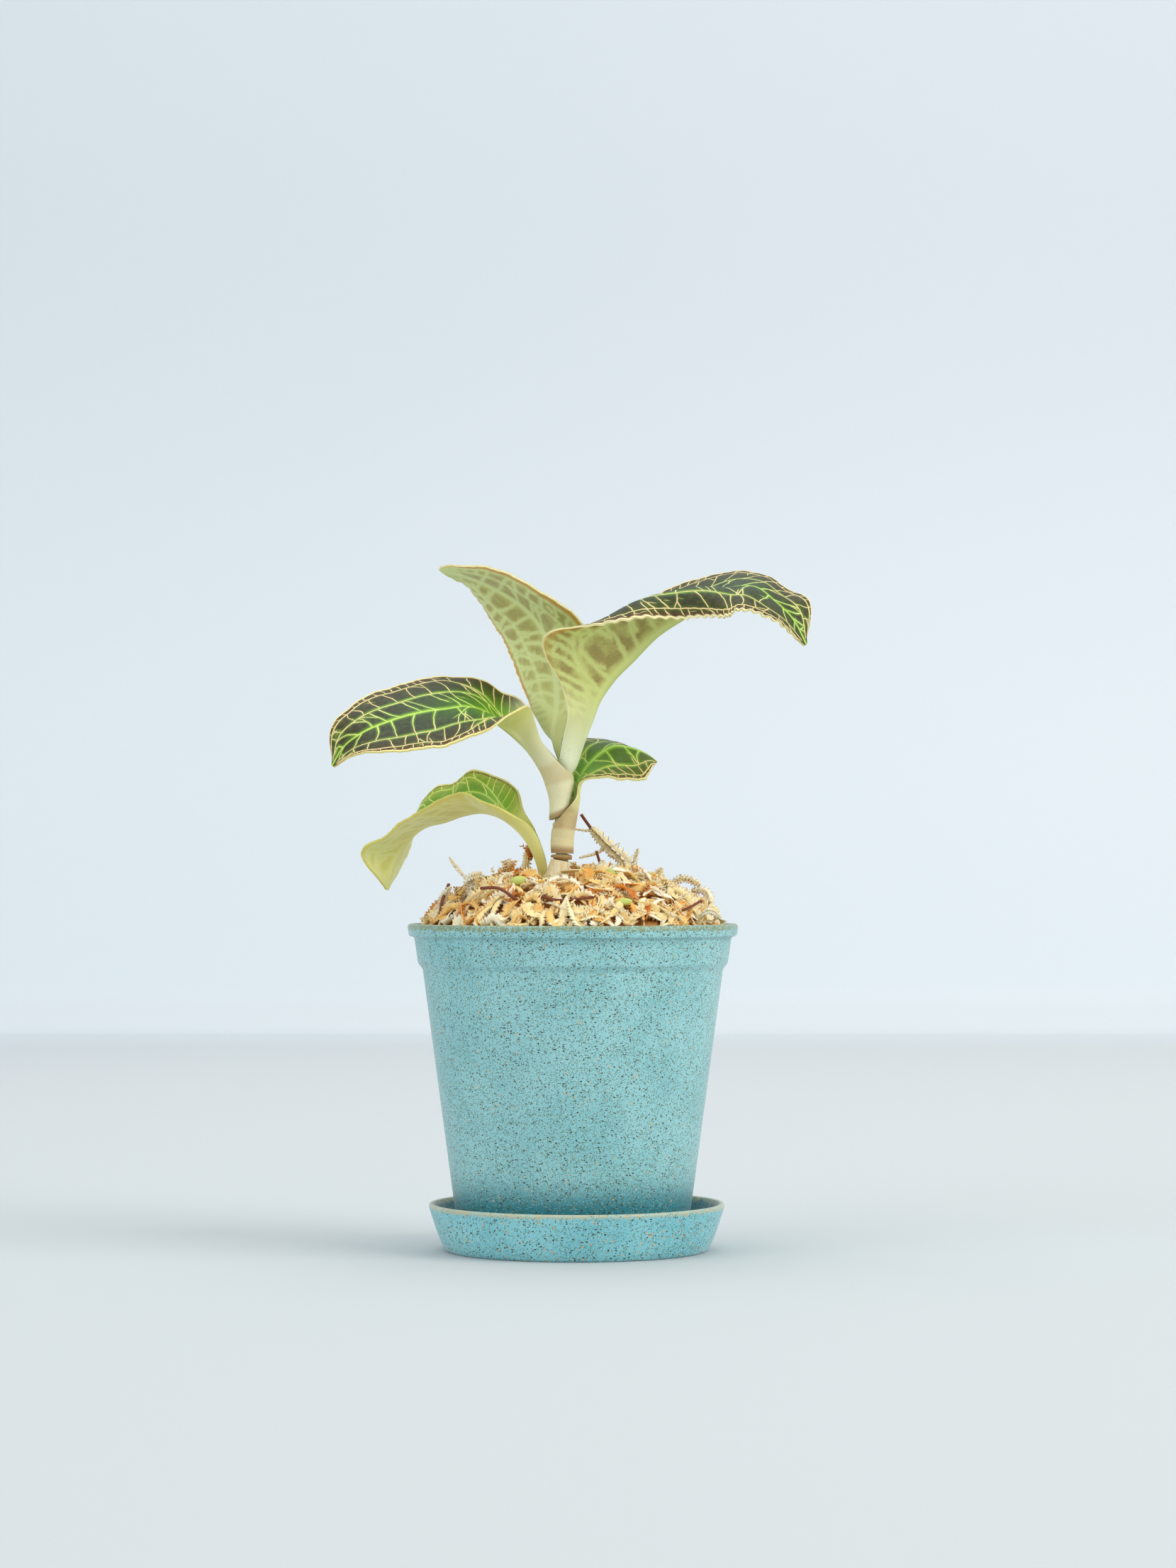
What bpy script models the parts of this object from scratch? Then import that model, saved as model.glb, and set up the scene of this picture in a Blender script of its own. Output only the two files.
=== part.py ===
# Jewel orchid in a seven-centimetre pot on its saucer, for Blender 4.5.
# The plant has five leaves with clasping sheaths on one short stem, which stands in a mound of moss.
# Sizes are in millimetres and are turned into metres when a mesh is made.
# The origin is the middle of the saucer's flat underside. +Z is up, and the viewer stands at -Y.

import math
import random

import bmesh
import bpy
import numpy as np
from mathutils import Vector, noise

MM = 0.001
GAP = 0.3                      # clearance between pieces that touch on the real object

# Saucer
SAUCER_RIM_R = 31.3
SAUCER_H = 10.0
SAUCER_FLOOR = 1.5
SAUCER_WALL = 1.2
SAUCER_FOOT_R = 27.4

# Pot
POT_X = -0.8                   # the pot stands a little left of the saucer's middle
POT_BOTTOM = SAUCER_FLOOR + GAP
POT_TOP = 69.0
LIP_R = 35.0
LIP_H = 2.5
COLLAR_R = 33.6
COLLAR_FOOT_R = 32.8
COLLAR_H = 8.3                 # from the rim down to the collar's lower corner
BODY_TOP_R = 31.8
BODY_TOP_DROP = 9.5            # from the rim down to where the plain taper starts
BODY_BOTTOM_R = 24.1
POT_WALL = 1.8
POT_FLOOR = 2.0
DRAIN_R = 3.0
DRAIN_RING_R = 14.0
ROUND_STEPS = 44

# Moss
MOSS_EDGE = 68.6               # height where the mound meets the pot's wall
MOSS_CROWN = 79.0
MOSS_RINGS = 9
MOSS_SPOKES = 30
STRANDS = 74
SEED = 11

# Stem, read from the top down: x, y, z and radius of its core and of its two swollen nodes
STEM_PATH = [
    (-3.5, 0.0, 96.6, 1.0), (-3.5, 0.0, 92.0, 1.2), (-3.45, 0.0, 90.7, 1.2),
    (-3.4, 0.0, 90.2, 1.75), (-3.4, 0.0, 89.4, 1.7), (-3.35, 0.0, 88.6, 1.2),
    (-3.2, 0.0, 83.7, 1.2), (-3.2, 0.0, 83.5, 2.2), (-3.25, 0.0, 82.9, 2.2),
    (-3.3, 0.0, 82.5, 1.2), (-3.9, 0.0, 80.0, 1.2), (-4.7, 0.0, 77.0, 1.2),
    (-5.2, 0.0, 73.0, 1.3), (-5.2, 0.0, 66.0, 1.2),
]
STEM_SIDES = 12
STEM_HOLE_R = 2.2
STEM_HOLE_X = -4.9
SHEATH_SEAT_R = 3.6            # shallow dip in the moss that the dry sheath sits in
SHEATH_SEAT_Z = 76.6

# Dry papery sheath that hangs round the stem's foot: height above its lower edge and outer radius
DRY_SHEATH = [(4.1, 1.95), (3.0, 2.2), (1.6, 2.35), (0.6, 2.6), (0.0, 2.9)]
DRY_WALL = 0.6
DRY_FOOT = (-4.3, 0.0, 78.3)
DRY_LEAN = 12.0                # degrees to the viewer's left at its foot

# Leaves
LEAF_THICK = 0.7
TANGENT_REACH = 5.0            # the midrib's direction is taken over this distance to each side
SECTION_STEPS = 24
CLOSED_CUP = 172.0             # degrees that each half of a sheath goes round the stem

# A leaf is a list of stations from the foot of its sheath to its tip. Each station gives:
#   x, y, z          the midrib
#   half width       from the midrib round to the margin, along the surface
#   dip, cup, fold   of the half nearer to the viewer, in degrees
#   dip, cup, fold   of the half further from the viewer
#   sweep            how far the margins lie ahead of the midrib
# Dip is the slope at the midrib, below level when positive. Cup bends the half evenly up towards
# the margin: 172 closes it to a tube round the stem. Fold bends it down, most at mid-width.
LEAF_B = [
    (-2.4, 0.0, 98.0, 3.2, 0, 164, 0, 0, 164, 0, 0),
    (-1.8, 0.0, 100.0, 3.8, 0, 150, 0, 0, 150, 0, 0),
    (-0.3, 0.0, 102.5, 4.9, 0, 115, 0, 0, 115, 0, 0),
    (0.5, 0.0, 105.0, 5.4, -4, 100, 0, 0, 100, 0, 0),
    (1.5, -0.5, 108.0, 5.6, -16, 80, 0, -10, 80, 0, 0),
    (3.0, -1.0, 112.0, 6.4, -34, 40, 0, -20, 60, 0, 0),
    (4.5, -1.5, 116.0, 9.2, -66, 10, 0, -20, 20, 0, 0),
    (7.6, -2.0, 120.6, 18.2, -78, 0, 24, -18, 10, 0, -2.4),
    (12.0, -3.0, 125.0, 18.4, -92, 0, 92, -20, 0, 0, -0.6),
    (17.0, -4.0, 130.0, 18.0, -94, 0, 140, -24, 0, 0, 0),
    (23.0, -5.0, 134.0, 17.6, -72, 0, 150, -24, 0, 0, 0),
    (28.5, -6.0, 137.5, 16.6, -38, 0, 112, -18, 0, 0, 0),
    (33.0, -7.0, 139.5, 15.2, 0, 0, 50, -16, 0, 0, 0),
    (37.5, -8.0, 139.5, 13.6, 14, 0, 30, -18, 0, 0, 0),
    (41.5, -9.0, 136.5, 11.2, 20, 0, 10, -26, 0, 0, 0),
    (45.0, -9.0, 133.0, 7.4, 22, 0, 0, -48, 0, 0, 0),
    (48.0, -9.0, 127.5, 0.4, 30, 0, 0, -30, 0, 0, 0),
]
LEAF_A = [
    (-2.9, 0.0, 102.0, 0.9, -10, 60, 0, 10, 60, 0, 0),
    (-3.7, 0.0, 104.0, 1.3, -10, 70, 0, 10, 70, 0, 0),
    (-4.6, 0.2, 107.0, 2.3, -10, 70, 0, 20, 70, 0, 0),
    (-4.6, 1.2, 110.0, 4.2, -16, 70, 0, 50, 60, 0, 0),
    (-4.0, 2.5, 114.5, 7.0, -35, 30, 0, 66, 44, 0, 0),
    (-4.0, 4.5, 120.0, 10.0, -40, 20, 0, 60, 36, 0, 0),
    (-5.0, 7.0, 126.0, 12.6, -30, 20, 0, 56, 30, 0, 0),
    (-7.0, 8.5, 132.0, 14.4, -14, 20, 0, 54, 30, 0, 0),
    (-10.5, 8.5, 136.5, 14.4, -5, 20, 0, 50, 30, 0, 0),
    (-15.5, 9.0, 140.0, 12.8, -4, 20, 0, 44, 24, 0, 0),
    (-20.5, 9.5, 142.5, 9.4, -4, 20, 0, 34, 20, 0, 0),
    (-25.0, 10.0, 144.0, 5.4, -8, 10, 0, 20, 10, 0, 0),
    (-29.5, 10.0, 145.0, 0.4, -30, 0, 0, 30, 0, 0, 0),
]
LEAF_C = [
    (-5.5, 0.0, 90.9, 5.8, 0, 172, 0, 0, 172, 0, 3.6),
    (-5.5, 0.0, 95.5, 6.2, 0, 172, 0, 0, 172, 0, 0),
    (-6.2, 0.0, 98.3, 8.0, 0, 165, 0, 0, 165, 0, 0),
    (-6.8, -0.2, 100.2, 6.8, 0, 108, 0, 0, 108, 0, 0),
    (-7.9, -0.5, 102.4, 5.8, 0, 92, 0, 0, 92, 0, 0),
    (-10.3, -1.0, 106.0, 4.2, -16, 84, 0, -16, 84, 0, 0),
    (-13.3, -2.0, 109.0, 6.8, -56, 20, 0, -56, 20, 0, 1.2),
    (-16.5, -3.0, 111.5, 10.6, -14, 10, 0, -24, 20, 0, 0.8),
    (-19.5, -4.0, 113.5, 13.6, 9, 0, 0, -24, 10, 0, 0),
    (-23.5, -5.0, 114.5, 14.6, 18, -10, 0, -28, 0, 0, 0),
    (-27.0, -6.0, 114.0, 14.8, 22, -10, 0, -32, 0, 0, 0),
    (-31.0, -7.0, 113.5, 14.4, 29, -10, 0, -32, 0, 0, 0),
    (-35.5, -8.0, 112.5, 13.2, 31, -10, 0, -34, 0, 0, 0),
    (-40.0, -9.0, 111.0, 11.6, 33, -10, 0, -40, 0, 0, 0),
    (-44.5, -10.0, 109.0, 9.0, 32, -8, 0, -46, 0, 0, 0),
    (-48.5, -10.0, 106.0, 5.4, 28, -4, 0, -58, 0, 0, 0),
    (-51.0, -10.0, 102.0, 0.4, 30, 0, 0, -30, 0, 0, 0),
]
LEAF_E = [
    (-1.0, 0.0, 83.8, 6.2, 0, 172, 0, 0, 172, 0, 0),
    (-1.0, 0.0, 87.0, 6.2, 0, 172, 0, 0, 172, 0, 0),
    (-0.8, 0.0, 89.0, 5.6, 0, 135, 0, 0, 135, 0, 0),
    (-0.5, 0.0, 91.0, 4.6, 0, 95, 0, 0, 95, 0, 0),
    (0.0, 0.5, 94.8, 3.2, 25, 50, 0, 0, 70, 0, 0),
    (0.3, 1.5, 98.1, 3.6, 18, 30, 0, -10, 50, 0, -0.8),
    (1.4, 3.0, 100.7, 5.6, 32, 10, 0, -30, 30, 0, -2),
    (3.2, 4.4, 103.1, 7.6, 38, 0, 0, -34, 10, 0, -2.6),
    (5.6, 5.6, 105.3, 9.6, 46, 0, 0, -34, 0, 0, -2.4),
    (8.1, 6.6, 106.6, 10.2, 50, 0, 0, -14, 0, 0, 0.6),
    (10.8, 7.4, 106.4, 9.4, 43, 0, 0, -4, 0, 0, 2.6),
    (13.4, 8.0, 105.6, 7.2, 34, 0, 0, 0, 0, 0, 2.2),
    (15.5, 8.5, 104.5, 3.6, 24, 0, 0, 0, 0, 0, 0.9),
    (17.0, 8.9, 103.4, 0.4, 30, 0, 0, 0, 0, 0, 0),
]
LEAF_D = [
    (-7.6, 5.0, 74.0, 2.2, 0, 80, 0, 0, 80, 0, 0),
    (-7.6, 4.6, 78.0, 2.4, 0, 80, 0, 0, 80, 0, 0),
    (-8.0, 3.6, 81.0, 2.8, 0, 80, 0, 0, 80, 0, 0),
    (-9.0, 2.6, 84.0, 3.2, 0, 80, 0, 0, 80, 0, 0),
    (-11.0, 2.2, 87.5, 3.2, -10, 80, 0, -20, 80, 0, 0),
    (-14.0, 3.2, 90.5, 4.0, 6, 50, 0, -56, 50, 0, 0),
    (-16.5, 4.5, 92.0, 7.4, 0, 20, 0, -42, 40, 0, 0),
    (-20.0, 6.0, 93.0, 10.4, -13, 10, 0, -34, 20, 0, 0),
    (-24.0, 8.0, 92.5, 12.4, -16, 0, 0, -40, 10, 0, 0),
    (-28.5, 10.0, 91.0, 13.0, -12, 0, 0, -34, 0, 0, 0),
    (-32.5, 12.0, 90.0, 12.4, -10, 0, 0, -32, 0, 0, 0),
    (-35.5, 14.0, 88.0, 11.6, -16, 0, 0, -16, 0, 0, 0),
    (-37.5, 15.0, 85.5, 9.8, -32, 0, 0, 2, 0, 0, 0),
    (-39.5, 16.0, 81.5, 8.0, -62, 0, 0, 10, 0, 0, 0),
    (-41.0, 16.5, 76.0, 0.4, -30, 0, 0, 10, 0, 0, 0),
]

# Leaf colours, from the photo: old leaves are yellower, and the top leaf shows its pale underside
LEAVES = {
    "leaf_1_lower_left": dict(stations=LEAF_D, side=1, rows=30, cols=4, colour=(0.42, 0.50, 0.12)),
    "leaf_2_behind_stem": dict(stations=LEAF_E, side=-1, rows=28, cols=4, colour=(0.10, 0.22, 0.05)),
    "leaf_3_middle_left": dict(stations=LEAF_C, side=1, rows=38, cols=5, colour=(0.08, 0.13, 0.04)),
    "leaf_4_right": dict(stations=LEAF_B, side=-1, rows=46, cols=5, colour=(0.12, 0.18, 0.05)),
    "leaf_5_top": dict(stations=LEAF_A, side=1, rows=32, cols=4, colour=(0.45, 0.50, 0.18)),
}
CRIMP_STEP = 4.5               # length of one wave of the margin
CRIMP_HEIGHT = 0.3


def clear_scene():
    for obj in list(bpy.data.objects):
        bpy.data.objects.remove(obj, do_unlink=True)


def make_material(name, colour, roughness, metallic=0.0):
    mat = bpy.data.materials.new(name)
    mat.use_nodes = True
    shader = mat.node_tree.nodes["Principled BSDF"]
    shader.inputs["Base Color"].default_value = (*colour, 1.0)
    shader.inputs["Roughness"].default_value = roughness
    shader.inputs["Metallic"].default_value = metallic
    return mat


def add_object(name, bm, collection, material=None, smooth=True):
    mesh = bpy.data.meshes.new(name)
    bm.to_mesh(mesh)
    bm.free()
    obj = bpy.data.objects.new(name, mesh)
    collection.objects.link(obj)
    if material:
        mesh.materials.append(material)
    if smooth:
        mesh.shade_smooth()
        mesh.set_sharp_from_angle(angle=math.radians(40))
    return obj


def apply_modifiers(obj):
    """Leaves the object with the mesh that its modifiers make."""
    depsgraph = bpy.context.evaluated_depsgraph_get()
    depsgraph.update()
    mesh = bpy.data.meshes.new_from_object(obj.evaluated_get(depsgraph))
    obj.modifiers.clear()
    obj.data = mesh


def turned(name, profile, centre_x, collection, material):
    """A body of revolution: the profile goes round the outside from its top centre to its bottom."""
    bm = bmesh.new()
    verts = [bm.verts.new((r * MM, 0.0, z * MM)) for r, z in profile]
    for a, b in zip(verts[:-1], verts[1:]):
        bm.edges.new((a, b))
    obj = add_object(name, bm, collection, material, smooth=False)
    screw = obj.modifiers.new("turn", "SCREW")
    screw.steps = ROUND_STEPS
    screw.render_steps = ROUND_STEPS
    screw.use_merge_vertices = True
    screw.merge_threshold = 0.00001
    obj.location.x = centre_x * MM
    return obj


def cylinder_cutter(name, radius, depth, location, collection, segments=20):
    bm = bmesh.new()
    bmesh.ops.create_cone(bm, cap_ends=True, segments=segments, radius1=radius * MM,
                          radius2=radius * MM, depth=depth * MM)
    obj = add_object(name, bm, collection, smooth=False)
    obj.location = Vector(location) * MM
    obj.hide_render = True
    obj.display_type = "WIRE"
    return obj


def cut(obj, cutter):
    boolean = obj.modifiers.new("cut " + cutter.name, "BOOLEAN")
    boolean.operation = "DIFFERENCE"
    boolean.object = cutter
    return boolean


def build_saucer(parts):
    rim_inner = SAUCER_RIM_R - SAUCER_WALL
    profile = [
        (0.0, SAUCER_FLOOR), (25.9, SAUCER_FLOOR), (26.9, 1.9), (27.5, 2.8), (28.4, 5.2),
        (rim_inner - 0.4, 9.0), (rim_inner, SAUCER_H - 0.2), (rim_inner + 0.3, SAUCER_H),
        (SAUCER_RIM_R - 0.3, SAUCER_H), (SAUCER_RIM_R, SAUCER_H - 0.3),
        (SAUCER_RIM_R - 0.1, 9.0), (30.0, 5.2), (29.2, 3.2), (28.5, 1.6), (27.9, 0.6),
        (SAUCER_FOOT_R, 0.0), (0.0, 0.0),
    ]
    return turned("saucer", profile, 0.0, parts, make_material("saucer glaze", (0.10, 0.40, 0.48), 0.4))


def pot_inner_radius(z):
    """Radius of the pot's inner wall at a height."""
    taper_top = POT_TOP - BODY_TOP_DROP
    rise = min(max((z - POT_BOTTOM) / (taper_top - POT_BOTTOM), 0.0), 1.0)
    return BODY_BOTTOM_R + (BODY_TOP_R - BODY_BOTTOM_R) * rise - POT_WALL


def build_pot(parts, cutters):
    floor_top = POT_BOTTOM + POT_FLOOR
    taper_top = POT_TOP - BODY_TOP_DROP
    profile = [
        (0.0, floor_top), (pot_inner_radius(floor_top) - 1.0, floor_top),
        (pot_inner_radius(floor_top + 1.0), floor_top + 1.0),
        (pot_inner_radius(taper_top), taper_top), (COLLAR_R - POT_WALL, taper_top + 3.0),
        (LIP_R - 2.0, POT_TOP - 0.3), (LIP_R - 1.6, POT_TOP), (LIP_R - 0.5, POT_TOP),
        (LIP_R, POT_TOP - 0.5), (LIP_R - 0.3, POT_TOP - LIP_H), (COLLAR_R, POT_TOP - LIP_H - 0.3),
        (COLLAR_FOOT_R, POT_TOP - COLLAR_H), (BODY_TOP_R, taper_top),
        (BODY_BOTTOM_R, POT_BOTTOM + 0.6), (BODY_BOTTOM_R - 0.6, POT_BOTTOM), (0.0, POT_BOTTOM),
    ]
    pot = turned("pot", profile, POT_X, parts, make_material("pot glaze", (0.17, 0.47, 0.50), 0.45))
    places = [(0.0, 0.0)]
    for k in range(4):
        angle = math.radians(45 + 90 * k)
        places.append((DRAIN_RING_R * math.cos(angle), DRAIN_RING_R * math.sin(angle)))
    for k, (x, y) in enumerate(places):
        hole = cylinder_cutter(f"drain_{k}", DRAIN_R, 3 * POT_FLOOR,
                               (POT_X + x, y, POT_BOTTOM + POT_FLOOR / 2), cutters, segments=14)
        cut(pot, hole)
    return pot


def moss_height(x, y):
    """Height of the mound, x and y from the pot's axis."""
    r = math.hypot(x, y) / 31.0
    swell = 1.3 * noise.noise(Vector((x * 0.12, y * 0.12, 3.0))) * (1.0 - r ** 4)
    return MOSS_EDGE + (MOSS_CROWN - MOSS_EDGE) * (1.0 - r ** 3) + swell


def moss_core(collection):
    """Fills the pot below, with a mound on top, as one closed body."""
    bm = bmesh.new()
    bottom_z = POT_BOTTOM + POT_FLOOR + GAP
    levels = [bottom_z, bottom_z + 1.0, POT_TOP - BODY_TOP_DROP, POT_TOP - BODY_TOP_DROP + 3.0]
    bottom_r = pot_inner_radius(bottom_z) - 1.0 - GAP
    radii = [bottom_r, pot_inner_radius(levels[1]) - GAP - 0.1, pot_inner_radius(levels[2]) - GAP,
             COLLAR_R - POT_WALL - GAP - 0.1]
    edge_r = LIP_R - 2.0 - GAP - 0.5
    rings = []
    for z, r in list(zip(levels, radii)) + [(MOSS_EDGE - 1.5, edge_r - 0.2)]:
        rings.append([(r, z, k) for k in range(MOSS_SPOKES)])
    for j in range(MOSS_RINGS):
        r = edge_r * (1.0 - j / MOSS_RINGS) ** 0.9
        rings.append([(r, None, k) for k in range(MOSS_SPOKES)])
    rows = []
    for ring in rings:
        row = []
        for r, z, k in ring:
            angle = 2 * math.pi * k / MOSS_SPOKES
            x, y = r * math.cos(angle), r * math.sin(angle)
            height = moss_height(x, y) if z is None else z
            row.append(bm.verts.new(((POT_X + x) * MM, y * MM, height * MM)))
        rows.append(row)
    for low, high in zip(rows[:-1], rows[1:]):
        for k in range(MOSS_SPOKES):
            n = (k + 1) % MOSS_SPOKES
            bm.faces.new((low[k], low[n], high[n], high[k]))
    base = bm.verts.new((POT_X * MM, 0.0, bottom_z * MM))
    crown = bm.verts.new((POT_X * MM, 0.0, moss_height(0.0, 0.0) * MM))
    for k in range(MOSS_SPOKES):
        n = (k + 1) % MOSS_SPOKES
        bm.faces.new((rows[0][n], rows[0][k], base))
        bm.faces.new((rows[-1][k], rows[-1][n], crown))
    return add_object("moss core", bm, collection, smooth=False)


def strand(name, points, widths, collection, flat=0.6, sides=4):
    """A tapering strand of moss through its points: a ring of vertices at each, flattened a little."""
    bm = bmesh.new()
    path = [Vector(p) for p in points]
    rows = []
    for k, p in enumerate(path):
        along = (path[min(k + 1, len(path) - 1)] - path[max(k - 1, 0)]).normalized()
        across = along.cross(Vector((0, 0, 1)))
        across = across.normalized() if across.length > 0.1 else Vector((1, 0, 0))
        up = across.cross(along).normalized()
        row = []
        for j in range(sides):
            a = 2 * math.pi * j / sides
            offset = (across * math.cos(a) + up * math.sin(a) * flat) * widths[k]
            row.append(bm.verts.new((p + offset) * MM))
        rows.append(row)
    for low, high in zip(rows[:-1], rows[1:]):
        for j in range(sides):
            n = (j + 1) % sides
            bm.faces.new((low[j], low[n], high[n], high[j]))
    bm.faces.new(list(reversed(rows[0])))
    bm.faces.new(rows[-1])
    bmesh.ops.recalc_face_normals(bm, faces=bm.faces[:])
    bmesh.ops.triangulate(bm, faces=bm.faces[:])
    return add_object(name, bm, collection, smooth=False)


# Strands that stand out in the photo, each from its sunk foot to its tip, with the foot's half width
LONG_STRANDS = [
    ([(11.0, 11.0, 74.0), (9.0, 12.0, 80.5), (6.0, 12.5, 85.0), (3.5, 12.5, 88.5), (1.2, 12.5, 92.0)], 1.0),
    ([(15.5, 13.0, 73.0), (13.5, 13.0, 79.0), (10.8, 12.8, 82.8), (8.0, 13.5, 86.0)], 0.9),
    ([(20.0, 8.0, 72.0), (19.0, 8.0, 77.5), (18.0, 8.0, 80.0)], 1.0),
    ([(20.0, 6.0, 73.0), (24.0, 6.0, 77.0), (28.0, 5.5, 77.0), (30.5, 5.0, 73.5)], 1.1),
    ([(4.0, -2.0, 76.0), (5.0, -2.5, 80.0), (5.6, -3.0, 82.3)], 1.0),
    ([(7.0, 3.0, 76.0), (8.0, 3.0, 79.0), (8.8, 3.0, 81.3)], 1.2),
    ([(-11.5, 5.0, 76.0), (-10.8, 6.0, 82.0), (-10.0, 6.5, 86.0)], 1.3),
    ([(-15.5, -3.0, 76.0), (-14.8, -4.0, 80.0), (-14.2, -4.0, 83.0)], 1.1),
    ([(-21.0, -3.0, 74.0), (-24.0, -3.5, 79.5), (-26.6, -4.0, 82.8)], 0.7),
    ([(-28.5, -6.0, 71.0), (-28.0, -9.0, 74.0), (-26.5, -11.0, 77.0)], 1.0),
    ([(-22.0, -9.0, 73.0), (-22.5, -11.0, 78.0), (-20.0, -12.0, 80.0)], 1.2),
    ([(24.5, -16.0, 70.0), (27.5, -16.5, 72.0), (30.0, -15.0, 70.5)], 0.8),
]


def random_strands(collection):
    """Short curved strands all over the mound, sunk at both ends, by a seeded rule."""
    rng = random.Random(SEED)
    for k in range(STRANDS):
        r = 29.0 * math.sqrt((k + 0.5) / STRANDS)
        angle = k * math.radians(137.5) + rng.uniform(-0.3, 0.3)
        x, y = r * math.cos(angle), r * math.sin(angle)
        if math.hypot(x - (STEM_HOLE_X - POT_X), y) < 7.0:
            continue
        heading = rng.uniform(0, 2 * math.pi)
        bend = rng.uniform(-0.9, 0.9)
        length = rng.uniform(6.0, 11.0)
        lift = rng.uniform(0.9, 2.2)
        tip_lift = rng.choice((-1.2, -0.6, 0.9, 1.8))
        points = []
        widths = []
        width = rng.uniform(0.8, 1.35)
        for j in range(5):
            u = j / 4
            turn = heading + bend * (u - 0.5)
            px = x + length * (u - 0.5) * math.cos(turn)
            py = y + length * (u - 0.5) * math.sin(turn)
            reach = math.hypot(px, py)
            if reach > 30.6:
                px, py = px * 30.6 / reach, py * 30.6 / reach
            hump = -1.2 * (1 - u) + tip_lift * u + lift * math.sin(math.pi * u)
            points.append((POT_X + px, py, moss_height(px, py) + hump))
            widths.append(width * (1.0 - 0.45 * u))
        strand(f"strand {k}", points, widths, collection)


def build_moss(parts, cutters):
    """The mound with every strand joined to it, then plain holes for the stem and the lower leaf."""
    pieces = bpy.data.collections.new("moss strands")
    bpy.context.scene.collection.children.link(pieces)
    for k, (points, width) in enumerate(LONG_STRANDS):
        widths = [width * (1.0 - 0.6 * j / (len(points) - 1)) for j in range(len(points))]
        strand(f"long strand {k}", points, widths, pieces)
    random_strands(pieces)
    moss = moss_core(parts)
    moss.name = "moss"
    moss.data.materials.append(make_material("dried moss", (0.72, 0.50, 0.24), 0.9))
    join = moss.modifiers.new("strands", "BOOLEAN")
    join.operation = "UNION"
    join.operand_type = "COLLECTION"
    join.collection = pieces
    join.solver = "MANIFOLD"
    apply_modifiers(moss)
    for obj in list(pieces.objects):
        bpy.data.objects.remove(obj, do_unlink=True)
    bpy.data.collections.remove(pieces)
    stem_hole = cylinder_cutter("stem_hole", STEM_HOLE_R, 30.0, (STEM_HOLE_X, 0.0, 79.0), cutters)
    leaf_hole = cylinder_cutter("leaf_hole", 2.8, 20.0, (-7.2, 4.6, 82.0), cutters)
    seat_depth = 12.0
    seat = cylinder_cutter("sheath_seat", SHEATH_SEAT_R, seat_depth,
                           (-4.6, 0.0, SHEATH_SEAT_Z + seat_depth / 2), cutters)
    for hole in (stem_hole, leaf_hole, seat):
        cut(moss, hole).solver = "MANIFOLD"
    return moss


def loft_rings(name, rings, collection, material):
    """A closed body through rings of points that all have the same number of points."""
    bm = bmesh.new()
    rows = [[bm.verts.new(Vector(p) * MM) for p in ring] for ring in rings]
    count = len(rows[0])
    for low, high in zip(rows[:-1], rows[1:]):
        for j in range(count):
            n = (j + 1) % count
            bm.faces.new((low[j], low[n], high[n], high[j]))
    bm.faces.new(list(reversed(rows[0])))
    bm.faces.new(rows[-1])
    bmesh.ops.recalc_face_normals(bm, faces=bm.faces[:])
    return add_object(name, bm, collection, material)


def build_stem(parts):
    """The jointed stem: a level ring of points at each height of its path."""
    rings = []
    for x, y, z, r in STEM_PATH:
        ring = []
        for j in range(STEM_SIDES):
            a = 2 * math.pi * j / STEM_SIDES
            ring.append((x + r * math.cos(a), y + r * math.sin(a), z))
        rings.append(ring)
    stem = loft_rings("stem", rings, parts, make_material("stem", (0.62, 0.60, 0.40), 0.5))
    return stem


def build_dry_sheath(parts):
    """An open, ragged cone of dry skin with a wall of even thickness."""
    bm = bmesh.new()
    for h, r in DRY_SHEATH:
        bm.verts.new((r * MM, 0.0, h * MM))
    bm.verts.ensure_lookup_table()
    for k in range(len(DRY_SHEATH) - 1):
        bm.edges.new((bm.verts[k], bm.verts[k + 1]))
    bmesh.ops.spin(bm, geom=bm.verts[:] + bm.edges[:], cent=(0, 0, 0), axis=(0, 0, 1),
                   angle=2 * math.pi, steps=18, use_merge=True, use_duplicate=False)
    bmesh.ops.remove_doubles(bm, verts=bm.verts[:], dist=0.00001)
    foot_z = 0.7 * MM
    for v in bm.verts:
        if v.co.z < foot_z:
            a = math.atan2(v.co.y, v.co.x)
            ragged = 0.35 * math.sin(5 * a) + 0.25 * math.sin(9 * a + 1.0)
            v.co.z += ragged * MM
    bmesh.ops.recalc_face_normals(bm, faces=bm.faces[:])
    bmesh.ops.triangulate(bm, faces=bm.faces[:])
    obj = add_object("dry_sheath", bm, parts, make_material("dry sheath", (0.78, 0.66, 0.45), 0.8))
    skin = obj.modifiers.new("skin", "SOLIDIFY")
    skin.thickness = DRY_WALL * MM
    skin.offset = -1.0
    obj.location = Vector(DRY_FOOT) * MM
    obj.rotation_euler.y = math.radians(DRY_LEAN)
    return obj


def blend_stations(stations, s):
    """A smooth curve through the stations: their values at s, from 0 at the foot to 1 at the tip."""
    table = np.array(stations, dtype=float)
    knots = np.concatenate([[0.0], np.cumsum(np.linalg.norm(np.diff(table[:, :3], axis=0), axis=1))])
    knots /= knots[-1]
    slopes = np.gradient(table, knots, axis=0)
    k = int(np.clip(np.searchsorted(knots, s, side="right") - 1, 0, len(knots) - 2))
    h = knots[k + 1] - knots[k]
    u = (s - knots[k]) / h
    a = (2 * u ** 3 - 3 * u ** 2 + 1) * table[k] + (u ** 3 - 2 * u ** 2 + u) * h * slopes[k]
    b = (3 * u ** 2 - 2 * u ** 3) * table[k + 1] + (u ** 3 - u ** 2) * h * slopes[k + 1]
    return a + b


def leaf_length(stations):
    table = np.array(stations, dtype=float)[:, :3]
    return float(np.linalg.norm(np.diff(table, axis=0), axis=1).sum())


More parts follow.
